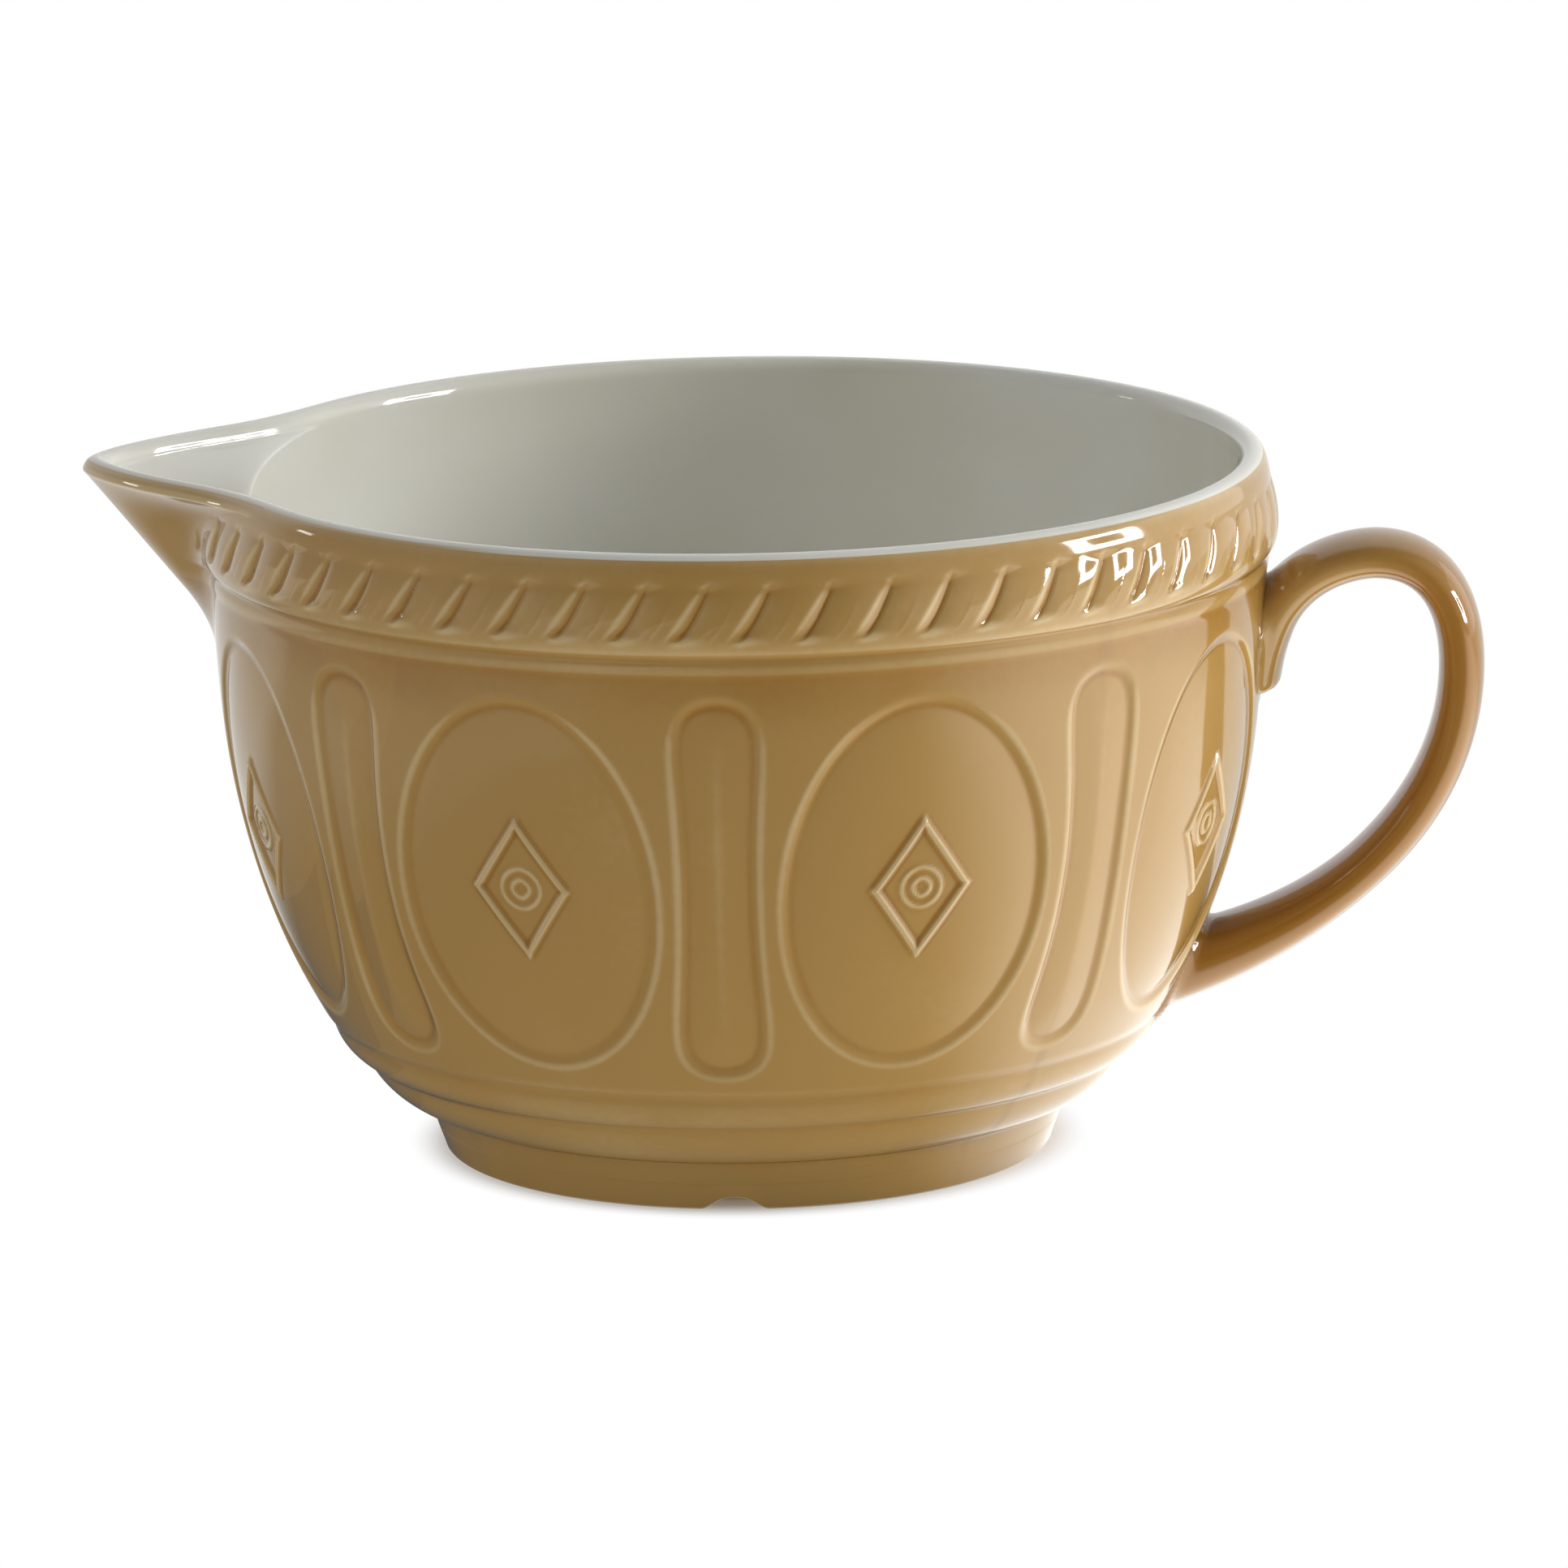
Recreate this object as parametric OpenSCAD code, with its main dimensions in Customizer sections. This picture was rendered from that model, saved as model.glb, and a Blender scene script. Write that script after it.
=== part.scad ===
// Batter bowl: a moulded stoneware bowl with a rope band under the rim, a belly
// of sunk panels, a luted pouring spout on the left and a luted strap handle on
// the right. The bowl axis is Z, the foot stands on z = 0, the spout points
// along -X, the handle along +X and the front of the pattern along -Y.

/* [Bowl] */
// Radius of the wall at the top of the patterned belly
belly_top_r = 125.2; // [115:0.2:135]
// How far the bottom of the patterned belly stands in from its top
belly_in = 25.4; // [20:0.2:31]
// Height of the bottom of the patterned belly
belly_foot_z = 33; // [31:0.2:36]
// How sharply the belly turns in towards the foot
belly_turn = 2.7; // [2:0.1:3.4]
// Lean of the upper wall, as a radius lost over the belly
belly_lean = 3; // [1:0.1:6]
// Height of the rim
rim_z = 166.9; // [160:0.1:175]
// Height of the rim above the patterned belly
band_rise = 28.5; // [26:0.1:31]
// Thickness of the wall, glaze included
wall_t = 6.6; // [5:0.1:8]
// Thickness of the glazed floor above the foot ring
floor_t = 7.5; // [6:0.1:10]
// How far the flat part of the floor stays inside the foot ring
floor_in = 16.4; // [8:0.2:30]

/* [Foot] */
// How far the foot ring stands in from the bottom of the belly
foot_in = 27.4; // [25:0.2:32]
// Height of the foot ring
foot_h = 7; // [5:0.1:8]
// Width of the foot ring across its face
foot_w = 10; // [7:0.5:14]
// Flare of the foot ring from the table to its top
foot_flare = 1.4; // [0:0.1:2]
// Rounding of the foot ring's edges
foot_edge = 1.2; // [0.6:0.1:1.8]
// Number of drain notches in the foot ring
notch_count = 3; // [2:1:6]
// Width of a drain notch
notch_w = 13; // [8:0.5:16]
// Depth of a drain notch
notch_d = 2.8; // [1.5:0.1:4]

/* [Mouldings] */
// How far the lower moulding starts outside the foot ring
lower_start_out = 3.6; // [2.6:0.2:5]
// How far the lower moulding starts above the foot ring
lower_start_rise = 3; // [2:0.2:4]
// How far the groove between the mouldings stands in from the bottom of the belly
groove_in = 11.3; // [9:0.1:13]
// How far that groove is below the bottom of the belly
groove_drop = 13; // [11:0.2:15]
// Bulge of the lower moulding
lower_bulge = 2.1; // [1:0.1:2.6]
// Bulge of the upper moulding
upper_bulge = 1.2; // [0.6:0.1:2]
// Thickness of a moulding at its edges
moulding_t = 1; // [0.8:0.1:1.4]
// Step in from the belly to the upper moulding
belly_step = 1.4; // [0.8:0.1:2]

/* [Relief] */
// Depth of the belly pattern
relief_t = 1.4; // [1:0.1:2]
// Height of the sunk panels above the bottom of the relief
pillow_t = 1; // [0.7:0.1:1.3]
// Width of the outline groove round a panel
groove_w = 1.5; // [1:0.1:2.2]
// Ground left between two panels at their nearest
rib_w = 6.57; // [5:0.1:11]
// Ground left above and below an oval panel
oval_margin = 6.7; // [5:0.1:12]
// How far the panels' middle is above the belly's middle
panel_rise = 0.6; // [-1:0.1:1.5]
// Half width of a waisted panel at its ends
waisted_end = 11.8; // [9:0.1:12.5]
// Half width of a waisted panel at its waist
waisted_mid = 9.6; // [7:0.1:10.5]
// Ground left above and below a waisted panel
waisted_margin = 5.1; // [3.5:0.1:10]
// Half width of a lozenge
lozenge_w = 13; // [10:0.5:16]
// Half height of a lozenge
lozenge_h = 18.6; // [14:0.2:24]
// Width of the lozenge's ridge
ridge_w = 2.2; // [1.6:0.1:3]
// Height of the lozenge's ridge
ridge_t = 0.8; // [0.5:0.1:1.2]
// Radius of the outer ring in a lozenge
ring_r = 5.3; // [4.4:0.1:6]
// Radius of the inner ring in a lozenge
dot_r = 2.7; // [2:0.1:3]
// Width of the ring ridges
ring_w = 1.2; // [0.8:0.1:1.4]

/* [Rope band] */
// Height of the bead under the rope band
bead_h = 4; // [3:0.1:5]
// How far the bead stands out
bead_out = 1; // [0.5:0.1:1.6]
// Height of the plain valley under the rope band
valley_h = 2.4; // [1.5:0.1:3.5]
// How far the rope band bulges past the belly
band_bulge = 2.9; // [1.5:0.1:4]
// Number of rope cuts round the whole rim
rope_count = 56; // [40:2:64]
// Lean of the rope cuts from the vertical
rope_lean = 27; // [15:1:35]
// Depth of the rope cuts at the crown of the band
rope_depth = 2.1; // [1.2:0.1:2.6]
// Half of the opening angle of a rope cut
rope_angle = 36; // [28:1:44]

/* [Spout] */
// How far the tip of the spout stands out from the wall
spout_out = 30.8; // [24:0.2:38]
// How far the widest part of the spout is inside the wall
spout_seat = 10.2; // [8:0.2:15]
// Half width of the spout at the rim, where it flares into the bowl
spout_w = 47; // [38:0.5:50]
// Height of the spout from its root to the rim
spout_h = 45.9; // [38:0.1:51]
// Half width of the spout at its root
spout_root_w = 8; // [5:0.5:12]
// How pointed the spout is from above, from 1 for a wedge to 2 for a round
spout_point = 1.5; // [1.3:0.05:2]
// Thickness of the spout's floor at the root
spout_floor_t = 8; // [6:0.2:12]
// Fullness of the spout's keel
keel_curve = 1.05; // [0.9:0.05:1.3]
// Fullness of the spout's sides
side_curve = 0.6; // [0.5:0.05:0.8]

/* [Handle] */
// How far the handle stands out from the wall
handle_out = 51.4; // [44:0.1:60]
// How far the top of the handle is below the rim
handle_drop = 19.8; // [17:0.1:23]
// How far the handle's widest part is below its top
handle_mid_drop = 32.1; // [28:0.1:37]
// How far the toe of the upper root is below the handle's top
handle_toe_drop = 37; // [33:0.2:41]
// How far the middle of the lower root is above the bottom of the belly
handle_foot_rise = 8.5; // [7:0.1:13]
// Thickness of the handle
handle_t = 10.9; // [9:0.1:13]
// Width of the handle's strap
handle_w = 26; // [20:0.5:32]
// Extra width of the strap at its roots
handle_flare = 6; // [2:0.5:10]
// Distance of the handle's crown from the wall
handle_crown = 25.4; // [22:0.2:29]
// How far the lower arm of the handle pulls straight out of the wall
handle_pull = 45; // [38:1:52]

/* [Glaze] */
// Thickness of the white glaze
glaze_t = 0.8; // [0.6:0.05:1]
// Angle on the lip where the white glaze ends, from its outer side
glaze_edge = 37; // [20:1:60]

/* [Hidden] */

$fn = 96;
cane = [0.70, 0.56, 0.36];
cane_light = [0.77, 0.64, 0.44];
cane_dark = [0.60, 0.45, 0.26];
white_glaze = [0.86, 0.87, 0.83];

sectors = 8;
belly_steps = 9;
outline_points = 32;
past = 4;

belly_top_z = rim_z - band_rise;
belly_foot_r = belly_top_r - belly_in;
foot_r = belly_foot_r - foot_in;
lower_start_r = foot_r + lower_start_out;
lower_start_z = foot_h + lower_start_rise;
groove_r = belly_foot_r - groove_in;
groove_z = belly_foot_z - groove_drop;
floor_z = foot_h + floor_t;
floor_flat_r = foot_r - floor_in;

oval_z = (belly_foot_z + belly_top_z) / 2 + panel_rise;
oval_h = (belly_top_z - belly_foot_z) / 2 - oval_margin;
waisted_h = (belly_top_z - belly_foot_z) / 2 - waisted_margin;
oval_w = PI * belly_top_r / sectors - waisted_mid - rib_w;

spout_reach = belly_top_r + spout_out;
spout_centre = belly_top_r - spout_seat;
spout_root_z = rim_z - spout_h;

handle_reach = belly_top_r + handle_out;
handle_top_z = rim_z - handle_drop;
handle_mid_z = handle_top_z - handle_mid_drop;
handle_toe_z = handle_top_z - handle_toe_drop;
handle_foot_z = belly_foot_z + handle_foot_rise;

lip_half = wall_t / 2;
lip_r = belly_top_r - lip_half;
lip_z = rim_z - lip_half;
seat_r = belly_top_r - relief_t;
band_z = belly_top_z + bead_h;
rope_z = band_z + valley_h;
spout_a = spout_reach - spout_centre;
spout_top_z = rim_z - lip_half;

// Radius of the belly's outer face at a height
function belly_u(z) = max(0, (belly_top_z - z) / (belly_top_z - belly_foot_z));
function belly_r(z) = belly_top_r - belly_lean * belly_u(z)
    - (belly_top_r - belly_lean - belly_foot_r) * pow(belly_u(z), belly_turn);

// Slope of the belly's outer face at a height
function belly_slope(z) = (belly_r(z + 0.5) - belly_r(z - 0.5));

// The belly's outer line, pushed out by a distance
function belly_line(out) = [for (i = [0:belly_steps])
    let (z = belly_foot_z + i * (belly_top_z - belly_foot_z) / belly_steps)
    [belly_r(z) + out, z]];

function flip(list) = [for (i = [len(list) - 1:-1:0]) list[i]];
function unit(v) = v / norm(v);
function side(p, q) = let (d = unit(q - p)) [d[1], -d[0]];

// Points from p to q that bulge to the outside by s
function bulge(p, q, s, n) = [for (i = [0:n])
    p + (q - p) * i / n + side(p, q) * s * (1 - pow(2 * i / n - 1, 2))];

// Points of an arc about c
function arc(c, r, a0, a1, n) = [for (i = [0:n])
    let (a = a0 + (a1 - a0) * i / n) c + r * [cos(a), sin(a)]];

// The seats of the two mouldings
lower_a = [lower_start_r, lower_start_z];
lower_b = [groove_r - 0.3, groove_z - 0.2];
upper_a = [groove_r + 0.3, groove_z + 0.2];
upper_b = [belly_foot_r - belly_step - 0.9, belly_foot_z - belly_step];
function seat(p, q, at) = at - side(p, q) * moulding_t;
moulding_seat = [
    seat(lower_a, lower_b, lower_a),
    seat(lower_a, lower_b, lower_b),
    seat(upper_a, upper_b, upper_a),
    seat(upper_a, upper_b, upper_b)
];

// The inside of the wall at a depth t from the belly's outer face
bend_z = groove_z + 2;
inner_steps = 9;
function inner_point(z, t) = let (a = atan(belly_slope(z))) [belly_r(z) - t * cos(a), z + t * sin(a)];
function inner_wall(t) = [for (i = [0:inner_steps])
    inner_point(bend_z + i * (belly_top_z - bend_z) / inner_steps, t)];
function floor_bend(t, z) = let (
        p = inner_point(bend_z, t),
        m = [p[0] - (p[1] - z) * belly_slope(bend_z), z],
        e = [floor_flat_r, z])
    [for (i = [0:3]) let (s = i / 4) pow(1 - s, 2) * e + 2 * s * (1 - s) * m + s * s * p];

// The inside of the bowl from the middle of the floor to the lip
function inside_line(t, z) = concat([[0, z]], floor_bend(t, z), inner_wall(t), [[belly_top_r - t, lip_z]]);

// The bowl's outer line with the relief left off, up to the lip
foot_seat_r = foot_r + foot_flare + 0.8;
outer_line = concat(
    [[0, foot_h], [foot_seat_r, foot_h], [foot_seat_r + 0.4, foot_h + 1.6]],
    moulding_seat,
    belly_line(-relief_t),
    [[seat_r, lip_z - 0.2], [belly_top_r, lip_z - 0.2]]);

module clay_profile() {
    polygon(concat(
        outer_line,
        arc([lip_r, lip_z], lip_half, 0, glaze_edge, 3),
        arc([lip_r, lip_z], lip_half - glaze_t, glaze_edge, 180, 9),
        flip(inside_line(wall_t - glaze_t, floor_z - glaze_t))));
}

module lining_profile() {
    polygon(concat(
        inside_line(wall_t, floor_z),
        arc([lip_r, lip_z], lip_half, 180, glaze_edge, 9),
        arc([lip_r, lip_z], lip_half - glaze_t, glaze_edge, 180, 9),
        flip(inside_line(wall_t - glaze_t, floor_z - glaze_t))));
}

// The bowl as a filled shape with its belly pattern left off, lip included
module outer_solid() {
    rotate_extrude()
        polygon(concat(
            outer_line,
            arc([lip_r, lip_z], lip_half, 0, 90, 5),
            [[0, rim_z]]));
}

// The bowl's outer face with the belly pattern filled in
module belly_solid() {
    rotate_extrude()
        polygon(concat([[0, groove_z], upper_a], belly_line(0), [[belly_top_r, rim_z], [0, rim_z]]));
}

// A closed layer of the belly between two distances from its outer line
module layer(low, high) {
    rotate_extrude()
        polygon(concat(belly_line(high), flip(belly_line(low))));
}

// A flat outline pushed through the wall along the direction of an azimuth
through_room = 30;
module through(azimuth) {
    rotate([0, 0, azimuth])
        translate([belly_foot_r - through_room, 0, 0])
        rotate([90, 0, 90])
        linear_extrude(height = belly_in + 2 * through_room)
        children();
}

module oval_outline(less) {
    polygon([for (i = [0:outline_points - 1])
        let (a = 360 * (i + 0.5) / outline_points)
        [(oval_w - less) * cos(a), oval_z + (oval_h - less) * sin(a)]]);
}

// Half width of a waisted panel along its height, t from -1 to 1
function waisted_half(t) = (waisted_mid + (waisted_end - waisted_mid) * 1.5 * t * t)
    * sqrt(max(0, 1 - pow(abs(t), 8)));

module waisted_outline(less) {
    n = outline_points / 2;
    scale_w = (waisted_end - less) / waisted_end;
    right = [for (i = [0:n])
        let (t = sin(-90 + 180 * i / n))
        [max(0.4, waisted_half(t) * scale_w), oval_z + t * (waisted_h - less)]];
    polygon(concat(right, flip([for (p = right) [-p[0], p[1]]])));
}

// Where the handle and the spout are luted on, the pattern stops short of them
root_gap = 3;
function covered(azimuth) = azimuth == 0
    ? [[belly_foot_z - past, handle_foot_z + handle_t + root_gap + 5],
       [handle_toe_z - root_gap, belly_top_z + past]]
    : azimuth == 180
    ? [[spout_root_z - root_gap, belly_top_z + past]]
    : [];

module waisted_at(azimuth, less) {
    through(azimuth)
        difference() {
            waisted_outline(less);
            for (span = covered(azimuth))
                translate([-waisted_end - past, span[0] - less])
                square([2 * (waisted_end + past), span[1] - span[0] + 2 * less]);
        }
}

function oval_azimuth(i) = (i + 0.5) * 360 / sectors;
function waisted_azimuth(i) = i * 360 / sectors;

module lozenge_outline(less) {
    k = norm([lozenge_w, lozenge_h]) / (lozenge_w * lozenge_h);
    f = 1 - less * k;
    polygon([[lozenge_w * f, 0], [0, lozenge_h * f], [-lozenge_w * f, 0], [0, -lozenge_h * f]]);
}

// Fullness of the spout's outlines between its root and the rim
function spout_share(z, low, curve) = pow(max(0, min(1, (z - low) / (spout_top_z - low))), curve);

// One level outline of the spout: a wedge with a round tip and two arms into the bowl.
// Its slanted sides lie further in than its tip does for the same thickness.
arm = 22;
side_inset = 1.25;
spout_turns = 20;
function spout_ring(a, b, z) = concat(
    [[-(spout_centre - arm), -b, z]],
    [for (i = [0:spout_turns])
        let (s = sin(-90 + 180 * i / spout_turns))
        [-(spout_centre + a * (1 - pow(abs(s), spout_point))), b * s, z]],
    [[-(spout_centre - arm), b, z]]);

function outer_ring(z) = spout_ring(
    spout_root_w + (spout_a - spout_root_w) * spout_share(z, spout_root_z, keel_curve),
    spout_root_w + (spout_w - spout_root_w) * spout_share(z, spout_root_z, side_curve),
    z);

channel_z = spout_root_z + spout_floor_t;
channel_root_w = spout_root_w / 2;
function channel_ring(z, t, low) = spout_ring(
    channel_root_w + (spout_a - t - channel_root_w) * spout_share(z, low, keel_curve),
    channel_root_w + (spout_w - side_inset * t - channel_root_w) * spout_share(z, low, side_curve),
    z);

function spout_lip(r, a) = spout_ring(
    spout_a - lip_half + r * cos(a),
    spout_w - side_inset * (lip_half - r * cos(a)),
    spout_top_z + r * sin(a));

spout_levels = [0, 0.06, 0.16, 0.32, 0.52, 0.76, 1];
function levels(low) = [for (s = spout_levels) low + (spout_top_z - low) * s];

// A solid between a first outline below and a last outline above, open to no side.
// Its bent four-sided faces are split one way, or the other way if it is turned,
// so that two solids that share outlines in opposite order share faces too.
module scoop(rings, turned = false) {
    n = len(rings[0]);
    m = len(rings);
    points = [for (ring = rings) each ring];
    polyhedron(points = points, faces = concat(
        [[for (i = [n - 1:-1:0]) i]],
        [for (k = [0:m - 2]) for (i = [0:n - 2])
            let (a = k * n + i, b = a + 1, c = b + n, d = a + n)
            each (turned ? [[a, b, d], [b, c, d]] : [[a, b, c], [a, c, d]])],
        [[for (i = [0:n - 1]) (m - 1) * n + i]],
        [concat([for (k = [0:m - 1]) k * n], [for (k = [m - 1:-1:0]) k * n + n - 1])]),
        convexity = 8);
}

// The spout's outer shape, filled up past the rim
module spout_block() {
    top = outer_ring(spout_top_z);
    lift = [0, 0, lip_half + past];
    scoop(concat([for (z = levels(spout_root_z)) outer_ring(z)], [[for (p = top) p + lift]]));
}

// The pouring channel as a filled shape, up past the rim, at a depth t from the outer line
module channel_block(t, low) {
    top = channel_ring(spout_top_z, t, low);
    lift = [0, 0, lip_half + past];
    scoop(concat([for (z = levels(low)) channel_ring(z, t, low)], [[for (p = top) p + lift]]));
}

clay_t = wall_t - glaze_t;
module glazed_channel() {
    channel_block(wall_t, channel_z + glaze_t);
}

// The way out through the bowl's wall before it is glazed
module clay_channel() {
    channel_block(clay_t, channel_z);
}

// Points of a smooth curve from a to d with b and c as its pulls
function curve(a, b, c, d, n, from) = [for (i = [from:n])
    let (s = i / n)
    pow(1 - s, 3) * a + 3 * s * pow(1 - s, 2) * b + 3 * s * s * (1 - s) * c + pow(s, 3) * d];

// The handle's middle line, from the toe over the crown to the lower root
handle_toe = [belly_r(handle_toe_z) - 1, handle_toe_z];
handle_peak = [belly_top_r + handle_crown, handle_top_z - handle_t / 2 - 0.4];
handle_side = [handle_reach - handle_t / 2, handle_mid_z];
handle_root = [belly_r(handle_foot_z) - 12, handle_foot_z - 1.9];
handle_line = concat(
    curve(handle_toe, handle_toe + [0, 28.3], handle_peak - [4.4, 0], handle_peak, 8, 0),
    curve(handle_peak, handle_peak + [14.7, 0], handle_side + [0, 14.2], handle_side, 7, 1),
    curve(handle_side, handle_side - [0, handle_pull * 0.83], handle_root + handle_pull * [1, 0.19], handle_root, 13, 1));
stations = len(handle_line);
handle_turns = 16;

function heading(i) = unit(handle_line[min(i + 1, stations - 1)] - handle_line[max(i - 1, 0)]);
// How near a station is to the upper and to the lower root, from 1 down to 0
function near_top(i) = pow(max(0, 1 - i / 7), 2);
function near_foot(i) = pow(max(0, 1 - (stations - 1 - i) / 7), 1.6);
function half_t(i) = handle_t / 2 + 1.6 * near_top(i) * min(1, i / 2) + 4.2 * near_foot(i);
function half_w(i) = handle_w / 2 + handle_flare / 2 * max(near_top(i), near_foot(i));

function handle_ring(i) = let (d = heading(i), p = handle_line[i])
    [for (k = [0:handle_turns - 1])
        let (a = 360 * k / handle_turns,
             s = half_t(i) * sign(cos(a)) * pow(abs(cos(a)), 0.9),
             w = half_w(i) * sign(sin(a)) * pow(abs(sin(a)), 0.9))
        [p[0] - d[1] * s, w, p[1] + d[0] * s]];

module handle_sweep() {
    points = [for (i = [0:stations - 1]) each handle_ring(i)];
    n = handle_turns;
    polyhedron(points = points, faces = concat(
        [[for (k = [n - 1:-1:0]) k]],
        [for (i = [0:stations - 2]) for (k = [0:n - 1])
            [i * n + k, i * n + (k + 1) % n, (i + 1) * n + (k + 1) % n, (i + 1) * n + k]],
        [[for (k = [0:n - 1]) (stations - 1) * n + k]]),
        convexity = 6);
}

module bowl_body() {
    color(cane)
        difference() {
            rotate_extrude()
                clay_profile();
            clay_channel();
        }
}

module foot_profile() {
    e = foot_edge;
    polygon(concat(
        arc([foot_r - e, e], e, -90, 0, 3),
        [[foot_r + foot_flare, foot_h], [foot_r - foot_w, foot_h]],
        arc([foot_r - foot_w + e, e], e, 180, 270, 3)));
}

// A drain notch across the foot ring, with rounded shoulders
module notch() {
    r = notch_d;
    translate([foot_r - foot_w - past, 0, 0])
        rotate([90, 0, 90])
        linear_extrude(height = foot_w + foot_flare + 2 * past)
        polygon(concat(
            arc([-notch_w / 2 + r / 2, notch_d - r], r, 180, 90, 4),
            arc([notch_w / 2 - r / 2, notch_d - r], r, 90, 0, 4),
            [[notch_w / 2 + r / 2, -1], [-notch_w / 2 - r / 2, -1]]));
}

module foot_ring() {
    color(cane_dark)
        difference() {
            rotate_extrude()
                foot_profile();
            for (i = [0:notch_count - 1])
                rotate([0, 0, -90 + i * 360 / notch_count])
                notch();
        }
}

module moulding(p, q, s) {
    rotate_extrude()
        polygon(concat(bulge(p, q, s, 6), [seat(p, q, q), seat(p, q, p)]));
}

module lower_moulding() {
    color(cane)
        moulding(lower_a, lower_b, lower_bulge);
}

module upper_moulding() {
    color(cane)
        moulding(upper_a, upper_b, upper_bulge);
}

module belly_ground() {
    color(cane_light)
        difference() {
            layer(-relief_t, 0);
            for (i = [0:sectors - 1])
                through(oval_azimuth(i))
                oval_outline(0);
            for (i = [0:sectors - 1])
                waisted_at(waisted_azimuth(i), 0);
            spout_block();
        }
}

module oval_panels() {
    color(cane)
        intersection() {
            layer(-relief_t, pillow_t - relief_t);
            for (i = [0:sectors - 1])
                through(oval_azimuth(i))
                oval_outline(groove_w);
        }
}

module waisted_panels() {
    color(cane)
        intersection() {
            layer(-relief_t, pillow_t - relief_t);
            for (i = [0:sectors - 1])
                waisted_at(waisted_azimuth(i), groove_w);
        }
}

module lozenge_frames() {
    color(cane_light)
        intersection() {
            layer(pillow_t - relief_t, pillow_t - relief_t + ridge_t);
            for (i = [0:sectors - 1])
                through(oval_azimuth(i))
                translate([0, oval_z])
                difference() {
                    lozenge_outline(0);
                    lozenge_outline(ridge_w);
                }
        }
}

module lozenge_rings() {
    color(cane_light)
        intersection() {
            layer(pillow_t - relief_t, pillow_t - relief_t + ridge_t);
            for (i = [0:sectors - 1])
                for (r = [ring_r, dot_r])
                    through(oval_azimuth(i))
                    translate([0, oval_z])
                    difference() {
                        circle(r = r, $fn = 32);
                        circle(r = r - ring_w, $fn = 32);
                    }
        }
}

module rim_bead() {
    color(cane_light)
        difference() {
            rotate_extrude()
                polygon(concat(
                    bulge([belly_top_r, belly_top_z], [belly_top_r - 0.2, band_z], bead_out, 6),
                    [[seat_r, band_z], [seat_r, belly_top_z]]));
            spout_block();
        }
}

// Radius of the rope band's crown line at a height
function band_r(z) = belly_top_r + band_bulge * sin(180 * pow((z - rope_z) / (lip_z - 0.2 - rope_z), 0.6));
band_steps = 7;
band_line = [for (i = [0:band_steps])
    let (z = rope_z + i * (lip_z - 0.2 - rope_z) / band_steps) [i == band_steps ? belly_top_r : band_r(z), z]];

module rope_cut() {
    root_r = belly_top_r + band_bulge - rope_depth;
    low_z = rope_z + 2.6;
    depth = rope_depth + 3;
    translate([root_r, 0, low_z])
        rotate([-rope_lean, 0, 0])
        linear_extrude(height = (lip_z - low_z) / cos(rope_lean))
        polygon([[0, 0], [depth, -depth * tan(rope_angle)], [depth, depth * tan(rope_angle)]]);
}

module rope_band() {
    pitch = 360 / rope_count;
    reach = asin((spout_w + 3) / belly_top_r);
    color(cane_light)
        difference() {
            rotate_extrude()
                polygon(concat([[belly_top_r - 0.2, band_z]], band_line, [[seat_r, lip_z - 0.2], [seat_r, band_z]]));
            for (i = [0:rope_count - 1])
                if (abs(pitch * (i + 0.5) - 180) > reach)
                    rotate([0, 0, pitch * (i + 0.5)])
                    rope_cut();
            spout_block();
        }
}

module spout() {
    color(cane)
        difference() {
            scoop(concat(
                [for (z = levels(spout_root_z)) outer_ring(z)],
                [for (i = [1:3]) spout_lip(lip_half, glaze_edge * i / 3)],
                [for (i = [0:6]) spout_lip(lip_half - glaze_t, glaze_edge + (180 - glaze_edge) * i / 6)],
                [for (z = flip(levels(channel_z))) if (z < spout_top_z - 0.1) channel_ring(z, clay_t, channel_z)]));
            outer_solid();
        }
}

// The glaze of the spout, from its lip down the channel and on through the bowl's wall
module spout_lining() {
    color(white_glaze) {
        difference() {
            scoop(concat(
                [for (z = levels(channel_z)) if (z < spout_top_z - 0.1) channel_ring(z, clay_t, channel_z)],
                [for (i = [6:-1:0]) spout_lip(lip_half - glaze_t, glaze_edge + (180 - glaze_edge) * i / 6)],
                [for (i = [0:6]) spout_lip(lip_half, glaze_edge + (180 - glaze_edge) * i / 6)],
                [for (z = flip(levels(channel_z + glaze_t)))
                    if (z < spout_top_z - 0.1) channel_ring(z, wall_t, channel_z + glaze_t)]),
                turned = true);
            outer_solid();
        }
        intersection() {
            rotate_extrude()
                clay_profile();
            difference() {
                clay_channel();
                glazed_channel();
            }
        }
    }
}

module handle() {
    color(cane)
        difference() {
            handle_sweep();
            belly_solid();
        }
}

module bowl_lining() {
    color(white_glaze)
        difference() {
            rotate_extrude()
                lining_profile();
            glazed_channel();
        }
}

bowl_body();
foot_ring();
lower_moulding();
upper_moulding();
belly_ground();
oval_panels();
waisted_panels();
lozenge_frames();
lozenge_rings();
rim_bead();
rope_band();
spout();
handle();
bowl_lining();
spout_lining();
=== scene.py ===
import bpy
import math
import numpy as np
from mathutils import Matrix, Vector


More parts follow.
